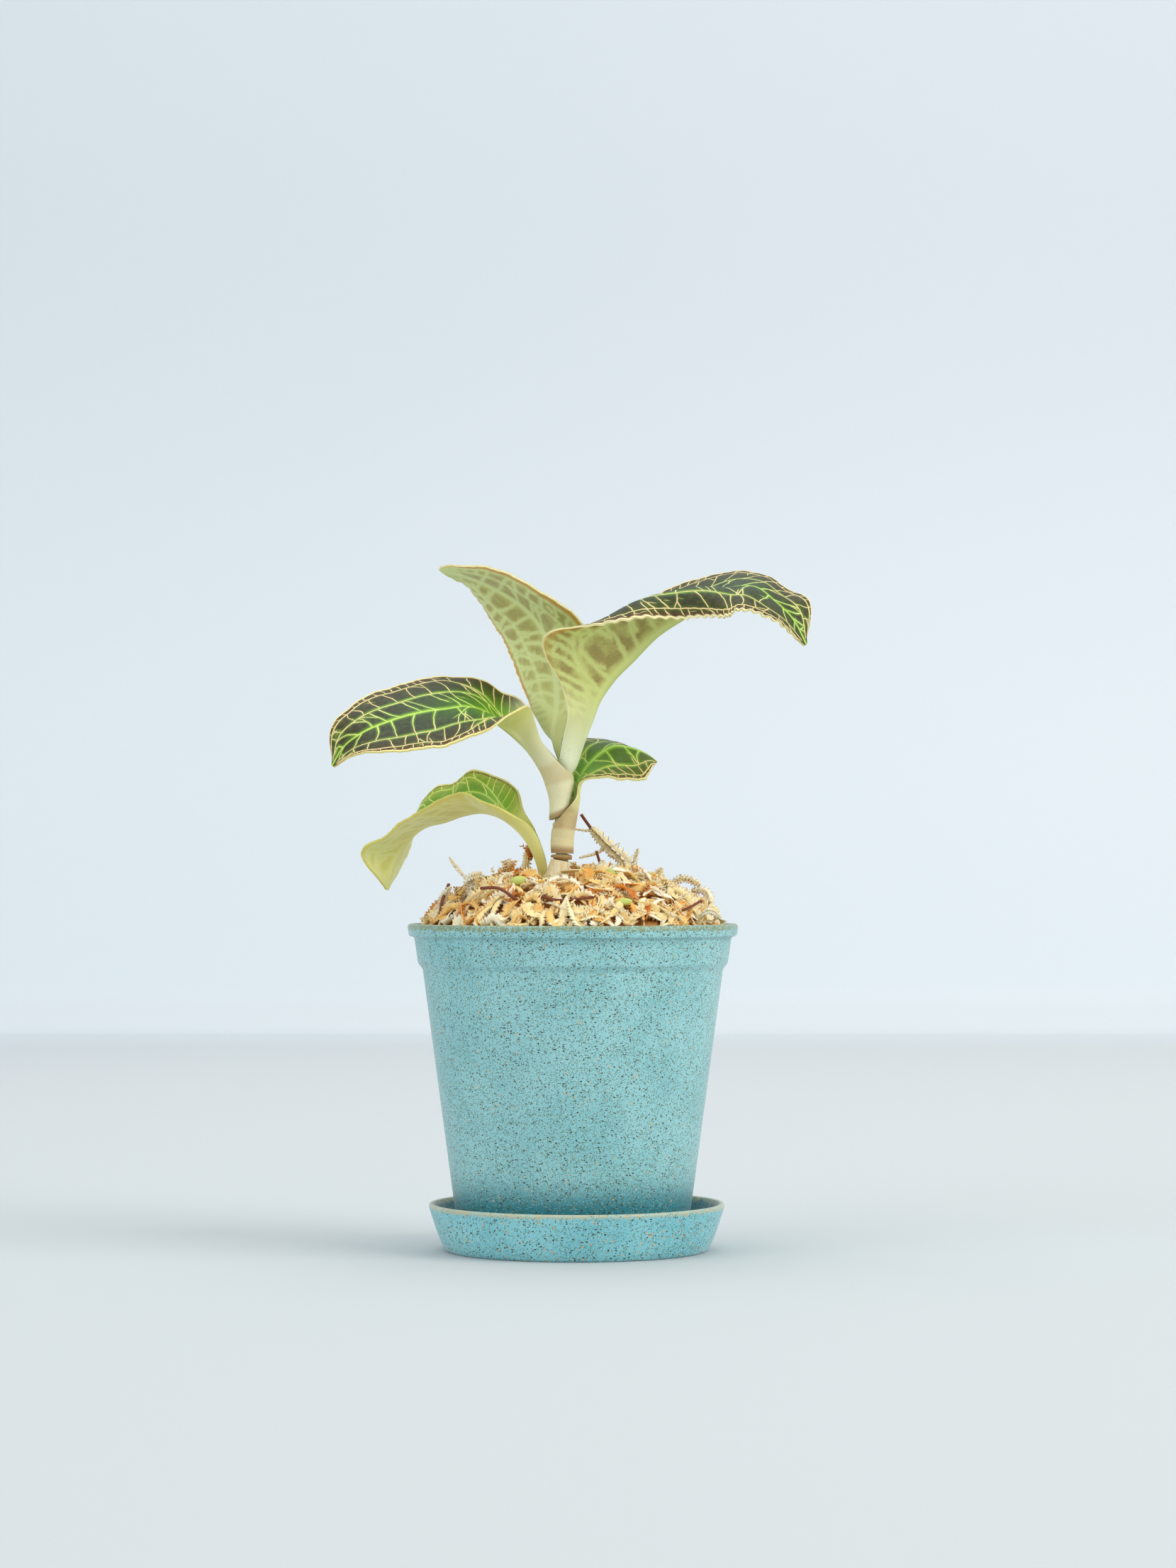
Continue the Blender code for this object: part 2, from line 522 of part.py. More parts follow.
def leaf_row(stations, side, s, acrosses):
    """Points of one row across the leaf at s. Across runs from -1, near margin, to 1, far margin."""
    length = leaf_length(stations)
    reach = TANGENT_REACH / length
    here = blend_stations(stations, s)
    ahead, behind = [blend_stations(stations, t)[:3] for t in (min(s + reach, 1.0), max(s - reach, 0.0))]
    along = ahead - behind
    along /= np.linalg.norm(along)
    away = np.array((0.0, 1.0, 0.0)) - along[1] * along
    away /= np.linalg.norm(away)
    under = side * np.cross(along, away)
    width = max(here[3], 0.0)
    step = (np.arange(SECTION_STEPS) + 0.5) / SECTION_STEPS
    points = []
    for across in acrosses:
        v = abs(across)
        dip, cup, fold = here[4:7] if across < 0 else here[7:10]
        cup = min(cup, CLOSED_CUP)
        direction = -1.0 if across < 0 else 1.0
        angle = np.radians(dip - cup * step * v + fold * (step * v) ** 2 * (3 - 2 * step * v))
        down = np.sin(angle).mean() * width * v
        out = np.cos(angle).mean() * width * v
        blade = min(max((s - 0.35) / 0.1, 0.0), 1.0) * min(max((1.0 - s) / 0.06, 0.0), 1.0)
        crimp = CRIMP_HEIGHT * blade * v ** 5 * math.sin(2 * math.pi * s * length / CRIMP_STEP)
        points.append(here[:3] + under * (down + crimp) + direction * away * out + along * here[10] * v * v)
    return points


def build_leaf(name, leaf, parts):
    """Sheath, stalk and blade of one leaf in one skin of even thickness."""
    rows, cols = leaf["rows"], leaf["cols"]
    bm = bmesh.new()
    bmesh.ops.create_grid(bm, x_segments=rows, y_segments=2 * cols, size=1.0)
    levels = sorted({round(v.co.x, 5) for v in bm.verts})
    acrosses = sorted({round(v.co.y, 5) for v in bm.verts})
    places = {}
    for level in levels:
        row = leaf_row(leaf["stations"], leaf["side"], (level + 1) / 2, acrosses)
        for across, point in zip(acrosses, row):
            places[(level, across)] = point
    for v in bm.verts:
        v.co = Vector(places[(round(v.co.x, 5), round(v.co.y, 5))]) * MM
    bmesh.ops.triangulate(bm, faces=bm.faces[:])
    material = make_material(name.split("_")[0] + " " + name.split("_", 2)[2], leaf["colour"], 0.45)
    obj = add_object(name, bm, parts, material)
    skin = obj.modifiers.new("skin", "SOLIDIFY")
    skin.thickness = LEAF_THICK * MM
    skin.offset = 0.0
    return obj


def main():
    clear_scene()
    parts = bpy.data.collections.new("jewel orchid")
    cutters = bpy.data.collections.new("cutters")
    bpy.context.scene.collection.children.link(parts)
    bpy.context.scene.collection.children.link(cutters)
    build_saucer(parts)
    build_pot(parts, cutters)
    build_moss(parts, cutters)
    build_stem(parts)
    build_dry_sheath(parts)
    for name, leaf in LEAVES.items():
        build_leaf(name, leaf, parts)


main()
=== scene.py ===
# %% [markdown]
# A jewel orchid in its pot.
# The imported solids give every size. This file gives the plant its skin: leaves with their net of
# veins, loose moss, a fibre-flecked pot. Each piece could be painted on the plain solids, but
# veins and moss catch light because they have a shape, so they are modelled here.

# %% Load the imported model
import math
import random

import bmesh
import bpy
import numpy as np
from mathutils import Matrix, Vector, kdtree, noise


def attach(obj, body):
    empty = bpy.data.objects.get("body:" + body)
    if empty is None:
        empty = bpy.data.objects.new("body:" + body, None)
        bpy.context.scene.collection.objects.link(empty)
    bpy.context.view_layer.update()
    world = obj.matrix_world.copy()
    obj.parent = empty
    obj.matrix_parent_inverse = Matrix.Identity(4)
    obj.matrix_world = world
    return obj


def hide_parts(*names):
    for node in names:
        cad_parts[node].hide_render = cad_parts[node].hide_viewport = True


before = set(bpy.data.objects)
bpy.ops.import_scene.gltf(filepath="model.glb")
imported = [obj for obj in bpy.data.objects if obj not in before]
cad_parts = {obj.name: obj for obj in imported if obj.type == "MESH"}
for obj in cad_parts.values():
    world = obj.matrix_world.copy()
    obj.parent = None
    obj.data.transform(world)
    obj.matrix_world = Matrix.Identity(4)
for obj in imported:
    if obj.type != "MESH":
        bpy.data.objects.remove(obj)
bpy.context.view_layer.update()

MM = 0.001
print("nodes:", ", ".join(sorted(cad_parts)))

# %% [markdown]
# The camera. The photo was taken almost level with the moss, from some way off, so the pot's lip
# looks nearly flat. A camera could be placed by eye, but the lip and the saucer's rim are circles
# of known size: how open their ellipses look gives the height, and how wide they are the distance.

# %% Camera
CAMERA_AT = (2.4, -861.6, 81.9)     # millimetres from the middle of the saucer's underside
CAMERA_UP = 1.109                   # degrees above level
FILM_HEIGHT = 36.0
LENS = 93.3

camera_data = bpy.data.cameras.new("camera")
camera_data.sensor_fit = "VERTICAL"
camera_data.sensor_height = FILM_HEIGHT
camera_data.lens = LENS
camera = bpy.data.objects.new("camera", camera_data)
camera.location = Vector(CAMERA_AT) * MM
camera.rotation_euler = (math.radians(90 + CAMERA_UP), 0.0, 0.0)
bpy.context.scene.collection.objects.link(camera)
bpy.context.scene.camera = camera
print("camera", round(camera.location.length, 3), "m from the origin")

# %% [markdown]
# Helpers for finishes. A finish in Blender is a small graph of nodes. Writing each node by hand
# takes many lines, so short functions add a node, mix two colours, soften a step, multiply, read
# a value that is stored on the mesh, and add noise or a bump.

# %% Node helpers
def srgb(red, green, blue):
    """A colour given as in a picture, 0 to 255, as the linear values that a shader needs."""
    values = []
    for part in (red, green, blue):
        part = part / 255
        values.append(part / 12.92 if part <= 0.04045 else ((part + 0.055) / 1.055) ** 2.4)
    return (*values, 1.0)


def new_finish(name, roughness=0.5):
    material = bpy.data.materials.new(name)
    material.use_nodes = True
    tree = material.node_tree
    shader = tree.nodes["Principled BSDF"]
    shader.inputs["Roughness"].default_value = roughness
    return material, tree, shader


def add_node(tree, kind, inputs=None, **settings):
    made = tree.nodes.new("ShaderNode" + kind)
    for key, value in settings.items():
        setattr(made, key, value)
    for key, value in (inputs or {}).items():
        if isinstance(value, bpy.types.NodeSocket):
            tree.links.new(value, made.inputs[key])
        else:
            made.inputs[key].default_value = value
    return made


def mix(tree, factor, first, second):
    made = add_node(tree, "Mix", {0: factor, 6: first, 7: second}, data_type="RGBA")
    return made.outputs[2]


def soft_step(tree, value, low, high, start=0.0, end=1.0):
    made = add_node(tree, "MapRange", {"Value": value, "From Min": low, "From Max": high,
                                       "To Min": start, "To Max": end},
                    interpolation_type="SMOOTHSTEP")
    return made.outputs["Result"]


def times(tree, first, second):
    return add_node(tree, "Math", {0: first, 1: second}, operation="MULTIPLY").outputs[0]


def stored(tree, name):
    return add_node(tree, "Attribute", attribute_name=name).outputs["Fac"]


def place_noise(tree, scale, detail=3.0, roughness=0.5):
    """Noise that stays fixed to the piece: scale is in waves per metre."""
    place = add_node(tree, "TexCoord").outputs["Object"]
    made = add_node(tree, "TexNoise", {"Vector": place, "Scale": scale, "Detail": detail,
                                       "Roughness": roughness})
    return made.outputs["Fac"]


def add_bump(tree, shader, height, strength, distance):
    bump = add_node(tree, "Bump", {"Height": height, "Strength": strength, "Distance": distance})
    tree.links.new(bump.outputs["Normal"], shader.inputs["Normal"])


print("helpers ready")

# %% [markdown]
# Helpers for meshes. All pieces here are made from lists of points, worked out by a rule, and then
# handed to Blender as one mesh. A small collector keeps the points, the faces and one stored value
# per point, so that many tubes or moss leaves end up in one piece.

# %% Mesh helpers
class Collector:
    """Gathers the points, faces and stored values of one piece, in millimetres."""

    def __init__(self):
        self.points = []
        self.faces = []
        self.values = {}

    def add(self, points, faces, **values):
        start = len(self.points)
        self.points.extend(points)
        self.faces.extend(tuple(start + k for k in face) for face in faces)
        for name, value in values.items():
            several = value if hasattr(value, "__len__") else [value] * len(points)
            self.values.setdefault(name, []).extend(several)

    def make(self, name, materials):
        mesh = bpy.data.meshes.new(name)
        mesh.from_pydata([tuple(c * MM for c in p) for p in self.points], [], self.faces)
        for key, values in self.values.items():
            layer = mesh.attributes.new(key, "FLOAT", "POINT")
            layer.data.foreach_set("value", np.array(values, np.float32))
        for material in materials:
            mesh.materials.append(material)
        mesh.shade_smooth()
        obj = bpy.data.objects.new(name, mesh)
        bpy.context.scene.collection.objects.link(obj)
        return obj


def smooth_path(points, count):
    """Points at even steps of a smooth curve through the given ones."""
    knots = np.array(points, float)
    steps = np.linspace(0.0, len(knots) - 1.0, count)
    if len(knots) > 2:
        slopes = np.gradient(knots, axis=0)
    else:
        slopes = np.diff(knots, axis=0).repeat(2, axis=0)
    k = np.clip(steps.astype(int), 0, len(knots) - 2)
    u = (steps - k)[:, None]
    return ((2 * u ** 3 - 3 * u ** 2 + 1) * knots[k] + (u ** 3 - 2 * u ** 2 + u) * slopes[k]
            + (3 * u ** 2 - 2 * u ** 3) * knots[k + 1] + (u ** 3 - u ** 2) * slopes[k + 1])


UPRIGHT = 0.2                       # a path within this sine of upright takes another side way


def path_frames(path):
    """At each point of a path: the way along it, one way across and the other way across."""
    along = np.gradient(path, axis=0)
    along /= np.linalg.norm(along, axis=1)[:, None]
    across = np.cross(along, (0.0, 0.0, 1.0))
    weak = np.linalg.norm(across, axis=1) < UPRIGHT
    across[weak] = np.cross(along[weak], (0.0, 1.0, 0.0))
    across /= np.linalg.norm(across, axis=1)[:, None]
    return along, across, np.cross(across, along)


def add_tube(collector, path, radii, sides=6, flat=1.0, **values):
    """A closed tube along the path, flattened if flat is under 1."""
    _, across, up = path_frames(path)
    angles = np.linspace(0.0, 2 * math.pi, sides, endpoint=False)
    points = []
    for p, a, u, r in zip(path, across, up, radii):
        for angle in angles:
            points.append(p + (a * math.cos(angle) + u * math.sin(angle) * flat) * r)
    faces = [tuple(range(sides))[::-1], tuple(range(len(points) - sides, len(points)))]
    for row in range(len(path) - 1):
        for k in range(sides):
            n = (k + 1) % sides
            low = row * sides
            faces.append((low + k, low + n, low + sides + n, low + sides + k))
    collector.add(points, faces, **values)


print("mesh helpers ready")

# %% [markdown]
# The floor and the light. In the photo the plant stands on a pale surface, and the wall a metre
# behind it is a little bluer and brighter. One bent sheet does both, so there is no gap between
# them. A hard lamp would draw sharp shadows on it, so the light comes from large soft panels, the
# strongest from the right, where the pot is palest.

# %% Floor and backdrop
FLOOR_DEPTH = 1070.0                # from the pot to the wall
BEND = 24.0                         # radius of the bend between them
BEND_STEPS = 12
SHEET_HALF = 6000.0
SHEET_FRONT = -7000.0
SHEET_TOP = 2600.0
FLOOR_COLOUR = srgb(194, 200, 201)
# painted light: the floor is painted a little lighter back towards the wall
FAR_FLOOR_PAINTED_LIGHT = srgb(199, 204, 205)
WALL_FOOT_PAINTED_SHADE = srgb(204, 211, 214)      # painted shade: the bend between floor and wall is painted darker
WALL_LOW_COLOUR = srgb(217, 224, 228)
# painted shade: the wall is painted darker towards the top
WALL_HIGH_PAINTED_SHADE = srgb(204, 211, 216)
LEFT_SHADE = srgb(250, 251, 252)    # the room is a little darker on the left
# Where one tone gives way to the next, in metres.
FOOT_TO_WALL = (0.008, 0.026)       # up the wall
LOW_TO_HIGH = (0.1, 0.42)           # up the wall
NEAR_TO_FAR = (-0.1, 0.8)           # back along the floor
FLOOR_TO_WALL = (0.9, FLOOR_DEPTH * MM + 0.02)
LEFT_TO_RIGHT = (-0.35, 0.3)


def build_backdrop():
    profile = [(SHEET_FRONT, 0.0)]
    for k in range(BEND_STEPS + 1):
        turn = math.radians(90 * k / BEND_STEPS)
        profile.append((FLOOR_DEPTH + BEND * math.sin(turn), BEND - BEND * math.cos(turn)))
    profile.append((FLOOR_DEPTH + BEND, SHEET_TOP))
    points = [(x, y, z) for y, z in profile for x in (-SHEET_HALF, SHEET_HALF)]
    faces = [(2 * k, 2 * k + 1, 2 * k + 3, 2 * k + 2) for k in range(len(profile) - 1)]
    material, tree, shader = new_finish("backdrop paint", 0.9)
    shader.inputs["Specular IOR Level"].default_value = 0.1
    parts = add_node(tree, "SeparateXYZ", {"Vector": add_node(tree, "TexCoord").outputs["Object"]})
    across, back, up = [parts.outputs[axis] for axis in "XYZ"]
    # Painted shade and light: the wall is darker upwards and at its foot, and the floor is lighter
    # at the back.
    wall = mix(tree, soft_step(tree, up, *LOW_TO_HIGH), WALL_LOW_COLOUR, WALL_HIGH_PAINTED_SHADE)
    wall = mix(tree, soft_step(tree, up, *FOOT_TO_WALL), WALL_FOOT_PAINTED_SHADE, wall)
    floor = mix(tree, soft_step(tree, back, *NEAR_TO_FAR), FLOOR_COLOUR, FAR_FLOOR_PAINTED_LIGHT)
    far = soft_step(tree, back, *FLOOR_TO_WALL)
    left = soft_step(tree, across, *LEFT_TO_RIGHT, 1.0, 0.0)
    shade = add_node(tree, "Mix", {0: left, 6: mix(tree, far, floor, wall), 7: LEFT_SHADE},
                     data_type="RGBA", blend_type="MULTIPLY")
    tree.links.new(shade.outputs[2], shader.inputs["Base Color"])
    collector = Collector()
    collector.add(points, faces)
    sheet = collector.make("backdrop", [material])


build_backdrop()
print("the wall stands", FLOOR_DEPTH, "mm behind the pot")

# %% Light
PANELS = [
    # name, place in metres, size in metres, power in watts, colour
    ("window", (1.7, -0.85, 1.15), 1.4, 28.0, (1.0, 0.985, 0.96)),
    ("fill", (-1.6, -1.4, 0.9), 1.9, 17.0, (0.97, 0.99, 1.0)),
    ("top", (-0.1, 0.3, 1.7), 1.4, 13.0, (1.0, 1.0, 1.0)),
]
SKY_COLOUR = (0.98, 0.985, 1.0, 1.0)
SKY_STRENGTH = 0.66
LIGHT_AIM = Vector((0.0, 0.0, 0.08))        # the moss


def build_light():
    for name, place, size, power, colour in PANELS:
        data = bpy.data.lights.new(name, "AREA")
        data.shape = "SQUARE"
        data.size = size
        data.energy = power
        data.color = colour
        lamp = bpy.data.objects.new(name, data)
        lamp.location = place
        lamp.rotation_euler = (LIGHT_AIM - Vector(place)).to_track_quat("-Z", "Y").to_euler()
        bpy.context.scene.collection.objects.link(lamp)
    world = bpy.data.worlds.new("room")
    world.use_nodes = True
    sky = world.node_tree.nodes["Background"]
    sky.inputs["Color"].default_value = SKY_COLOUR
    sky.inputs["Strength"].default_value = SKY_STRENGTH
    bpy.context.scene.world = world
    bpy.context.scene.view_settings.view_transform = "Standard"


build_light()
print(len(PANELS), "soft panels and a pale room")

# %% [markdown]
# The pot and saucer. On the real object they are moulded from plastic filled with ground plant
# husk: thin, even walls, soft corners, and a rim that has worn to the colour of the fibre. The
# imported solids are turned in 44 steps, which shows as flats on the outline, so both are turned
# again here from the same profile, with round corners and 192 steps.

# %% Turning a profile
TURN_STEPS = 192
POT_X = -0.8
POT_TOP = 69.0
POT_BOTTOM = 1.8
SAUCER_TOP = 10.0
ROUND_SHARE = 0.45                  # the most of a straight part that a round takes


def rounded(profile, steps=4):
    """Rounds the corners of a profile, each given as radius, height and size of its round."""
    path = [profile[0][:2]]
    for before, here, after in zip(profile[:-2], profile[1:-1], profile[2:]):
        corner = np.array(here[:2])
        size = here[2] if len(here) > 2 else 0.0
        if size == 0.0:
            path.append(tuple(corner))
            continue
        arms = []
        for other in (before, after):
            arm = np.array(other[:2]) - corner
            reach = np.linalg.norm(arm)
            arms.append(arm / reach * min(size, ROUND_SHARE * reach))
        for k in range(steps + 1):
            u = k / steps
            path.append(tuple(corner + arms[0] * (1 - u) ** 2 + arms[1] * u ** 2))
    path.append(profile[-1][:2])
    return path


def turn_profile(name, profile, centre_x, material):
    """Turns a profile that starts and ends on the axis. Returns the closed body."""
    angles = np.linspace(0.0, 2 * math.pi, TURN_STEPS, endpoint=False)
    points = [(centre_x, 0.0, profile[0][1])]
    for r, z in profile[1:-1]:
        points.extend((centre_x + r * math.cos(a), r * math.sin(a), z) for a in angles)
    points.append((centre_x, 0.0, profile[-1][1]))
    faces = []
    for k in range(TURN_STEPS):
        n = (k + 1) % TURN_STEPS
        faces.append((0, 1 + k, 1 + n))
        for row in range(len(profile) - 3):
            low = 1 + row * TURN_STEPS
            faces.append((low + k, low + TURN_STEPS + k, low + TURN_STEPS + n, low + n))
        last = 1 + (len(profile) - 3) * TURN_STEPS
        faces.append((last + k, len(points) - 1, last + n))
    collector = Collector()
    collector.add(points, faces)
    return collector.make(name, [material])


print("a profile is turned in", TURN_STEPS, "steps")

# %% [markdown]
# The husk plastic. Its flecks could be loose chips in the wall, but they lie level with it, so they
# are cells of a texture: in each cell one fleck, of which only a share is drawn. Several sizes and
# tones of them lie over a cloudy blue-green, with painted shade, a deeper blue-green, where pot
# and saucer face each other.

# %% Husk finish
FLECKS = [
    # spacing, share of places that hold one, colour, strength
    (0.95, None, srgb(44, 84, 82), 0.9),
    (0.68, 0.38, srgb(98, 106, 54), 0.9),
    (0.50, 0.15, srgb(58, 44, 30), 0.95),
    (0.42, None, srgb(214, 176, 122), 0.9),
    (0.8, 0.3, srgb(180, 222, 220), 0.6),
]
FOOT_PAINTED_SHADE = srgb(36, 132, 146)     # painted shade: a deeper blue-green where pot and saucer face each other
DISH_SLOPE = 0.39                   # how the saucer's wall leans out


def husk_finish(name, ground, deep, rim, rim_height, fleck_size, shares, dish=False):
    """Moulded plastic full of ground husk: fine dark, olive and tan flecks, and a worn rim.

    shares are those of the dark and of the tan flecks, which differ between pot and saucer."""
    material, tree, shader = new_finish(name, 0.42)
    place = add_node(tree, "TexCoord").outputs["Object"]
    height = add_node(tree, "SeparateXYZ", {"Vector": place}).outputs["Z"]
    cloud = soft_step(tree, place_noise(tree, 60.0, 4.0), 0.3, 0.7)
    colour = mix(tree, cloud, ground, deep)
    # Painted shade: the saucer's inside and the pot's foot are painted a deeper blue-green.
    if dish:
        level = add_node(tree, "VectorMath", {0: place, 1: (1.0, 1.0, 0.0)}, operation="MULTIPLY")
        radius = add_node(tree, "VectorMath", {0: level.outputs[0]}, operation="LENGTH")
        side = add_node(tree, "Math", {0: height, 1: -DISH_SLOPE, 2: radius.outputs["Value"]},
                        operation="MULTIPLY_ADD").outputs[0]
        shade = soft_step(tree, side, 0.0266, 0.0272, 0.9, 0.0)
    else:
        shade = soft_step(tree, height, 0.0095, 0.018, 0.95, 0.0)
    colour = mix(tree, shade, colour, FOOT_PAINTED_SHADE)
    left_open = iter(shares)
    for index, (spacing, share, tone, strength) in enumerate(FLECKS):
        mapping = add_node(tree, "Mapping", {"Vector": place})
        mapping.inputs["Location"].default_value = (0.013 * index, 0.007 * index, 0.003)
        mapping.inputs["Scale"].default_value = (1.0 + 0.6 * (index % 2), 1.0,
                                                 1.5 - 0.5 * (index % 2))
        mapping.inputs["Rotation"].default_value = (0.5 * index, 0.8 * index, 0.3 * index)
        cells = add_node(tree, "TexVoronoi", {"Vector": mapping.outputs[0],
                                              "Scale": spacing / fleck_size * 1000.0}, feature="F1")
        chosen = add_node(tree, "SeparateColor", {"Color": cells.outputs["Color"]}).outputs["Red"]
        share = next(left_open) if share is None else share
        picked = add_node(tree, "Math", {0: chosen, 1: share}, operation="LESS_THAN").outputs[0]
        near = soft_step(tree, cells.outputs["Distance"], 0.28, 0.48, strength, 0.0)
        colour = mix(tree, times(tree, picked, near), colour, tone)
    ragged = add_node(tree, "Math", {0: place_noise(tree, 420.0, 4.0), 1: 0.0016, 2: height},
                      operation="MULTIPLY_ADD").outputs[0]
    worn = soft_step(tree, ragged, rim_height * MM, (rim_height + 0.5) * MM)
    patchy = soft_step(tree, place_noise(tree, 1500.0, 3.0), 0.35, 0.6, 0.25, 0.9)
    colour = mix(tree, times(tree, worn, patchy), colour, rim)
    tree.links.new(colour, shader.inputs["Base Color"])
    grain = place_noise(tree, 2600.0, 3.0, 0.6)
    tree.links.new(soft_step(tree, grain, 0.2, 0.8, 0.36, 0.56), shader.inputs["Roughness"])
    shader.inputs["Sheen Weight"].default_value = 0.25
    shader.inputs["Sheen Roughness"].default_value = 0.4
    add_bump(tree, shader, grain, 0.22, 0.00012)
    return material


print("husk flecks of", len(FLECKS), "kinds")

# %% [markdown]
# The two profiles. Each starts on the axis, runs out and up the inside, over the lip, down the
# outside and back to the axis. The drain holes aren't round the axis, so they are cut afterwards.

# %% Make the pot and the saucer
DRAIN_RADIUS = 3.0
DRAIN_RING = 14.0                   # one hole in the middle and four on this radius


def cut_drains(pot):
    turns = [math.radians(45 + 90 * k) for k in range(4)]
    drains = [(0.0, 0.0)] + [(DRAIN_RING * math.cos(a), DRAIN_RING * math.sin(a)) for a in turns]
    cutters = bmesh.new()
    for x, y in drains:
        made = bmesh.ops.create_cone(cutters, cap_ends=True, segments=40, depth=6.0 * MM,
                                     radius1=DRAIN_RADIUS * MM, radius2=DRAIN_RADIUS * MM)
        bmesh.ops.translate(cutters, verts=made["verts"],
                            vec=((POT_X + x) * MM, y * MM, (POT_BOTTOM + 1.0) * MM))
    mesh = bpy.data.meshes.new("drains")
    cutters.to_mesh(mesh)
    cutters.free()
    cutter = bpy.data.objects.new("drains", mesh)
    bpy.context.scene.collection.objects.link(cutter)
    cut = pot.modifiers.new("drains", "BOOLEAN")
    cut.operation = "DIFFERENCE"
    cut.solver = "MANIFOLD"
    cut.object = cutter
    seen = bpy.context.evaluated_depsgraph_get()
    seen.update()
    pot.data = bpy.data.meshes.new_from_object(pot.evaluated_get(seen))
    pot.modifiers.clear()
    bpy.data.objects.remove(cutter)
    pot.data.shade_smooth()


def build_pot():
    profile = [
        (0.0, 3.8), (21.0, 3.8, 1.5), (22.6, 5.4, 1.5), (30.0, 59.5, 2.0), (31.8, 62.5, 2.0),
        (33.0, POT_TOP - 0.3, 0.6), (33.4, POT_TOP, 0.5), (34.7, POT_TOP, 0.6),
        (35.0, POT_TOP - 0.6, 0.6), (34.75, 66.5, 0.3), (33.6, 66.15, 0.3), (32.8, 60.7, 0.35),
        (31.8, 59.45, 0.25), (24.1, 2.4, 0.6), (23.5, POT_BOTTOM, 0.5), (0.0, POT_BOTTOM),
    ]
    finish = husk_finish("pot husk plastic", srgb(148, 202, 205), srgb(128, 188, 192),
                         srgb(128, 138, 88), POT_TOP - 0.6, 0.3, (0.4, 0.02))
    pot = turn_profile("pot_shell", rounded(profile), POT_X, finish)
    cut_drains(pot)
    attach(pot, "root")
    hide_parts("pot")
    return pot


def build_saucer():
    profile = [
        (0.0, 1.5), (25.9, 1.5, 1.2), (27.5, 2.8, 1.5), (29.7, 9.0, 0.6), (30.15, 9.85, 0.3),
        (30.45, 10.0, 0.2), (31.05, 10.0, 0.3), (31.3, 9.6, 0.3), (31.15, 8.9, 0.4),
        (29.9, 5.0, 2.0), (28.7, 1.8, 1.6), (27.6, 0.0, 0.7), (26.4, 0.0, 0.3), (0.0, 0.0),
    ]
    finish = husk_finish("saucer husk plastic", srgb(138, 206, 214), srgb(120, 192, 202),
                         srgb(190, 180, 140), SAUCER_TOP - 0.3, 0.34, (0.24, 0.09), dish=True)
    saucer = turn_profile("saucer_dish", rounded(profile), 0.0, finish)
    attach(saucer, "root")
    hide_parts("saucer")
    return saucer


pot = build_pot()
saucer = build_saucer()
print("pot", len(pot.data.polygons), "faces, saucer", len(saucer.data.polygons), "faces")

# %% [markdown]
# The shape of a leaf. A real leaf is one sheet: a sheath that clasps the stem, a channelled stalk
# and a blade that dips, cups and folds. It could be sculpted, but a rule is easier to keep true: a
# midrib in space, and at stations along it the slope of each half. The numbers are the same as in
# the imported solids, so the fine leaf lies exactly where the plain one does.

# %% Leaf stations
# Each station gives the midrib's x, y and z, the half width, then dip, cup and fold in degrees of
# the near half and of the far half, and how far the margins run ahead of the midrib.
WIDTH, NEAR_DIP, NEAR_CUP, NEAR_FOLD, FAR_DIP, FAR_CUP, FAR_FOLD, AHEAD = range(3, 11)
LEAF_RIGHT = [
    (-2.4, 0.0, 98.0, 3.2, 0, 164, 0, 0, 164, 0, 0),
    (-1.8, 0.0, 100.0, 3.8, 0, 150, 0, 0, 150, 0, 0),
    (-0.3, 0.0, 102.5, 4.9, 0, 115, 0, 0, 115, 0, 0),
    (0.5, 0.0, 105.0, 5.4, -4, 100, 0, 0, 100, 0, 0),
    (1.5, -0.5, 108.0, 5.6, -16, 80, 0, -10, 80, 0, 0),
    (3.0, -1.0, 112.0, 6.4, -34, 40, 0, -20, 60, 0, 0),
    (4.5, -1.5, 116.0, 9.2, -66, 10, 0, -20, 20, 0, 0),
    (7.6, -2.0, 120.6, 18.2, -78, 0, 24, -18, 10, 0, -2.4),
    (12.0, -3.0, 125.0, 18.4, -92, 0, 92, -20, 0, 0, -0.6),
    (17.0, -4.0, 130.0, 18.0, -94, 0, 140, -24, 0, 0, 0),
    (23.0, -5.0, 134.0, 17.6, -72, 0, 150, -24, 0, 0, 0),
    (28.5, -6.0, 137.5, 16.6, -38, 0, 112, -18, 0, 0, 0),
    (33.0, -7.0, 139.5, 15.2, 0, 0, 50, -16, 0, 0, 0),
    (37.5, -8.0, 139.5, 13.6, 14, 0, 30, -18, 0, 0, 0),
    (41.5, -9.0, 136.5, 11.2, 20, 0, 10, -26, 0, 0, 0),
    (45.0, -9.0, 133.0, 7.4, 22, 0, 0, -48, 0, 0, 0),
    (48.0, -9.0, 127.5, 0.4, 30, 0, 0, -30, 0, 0, 0),
]
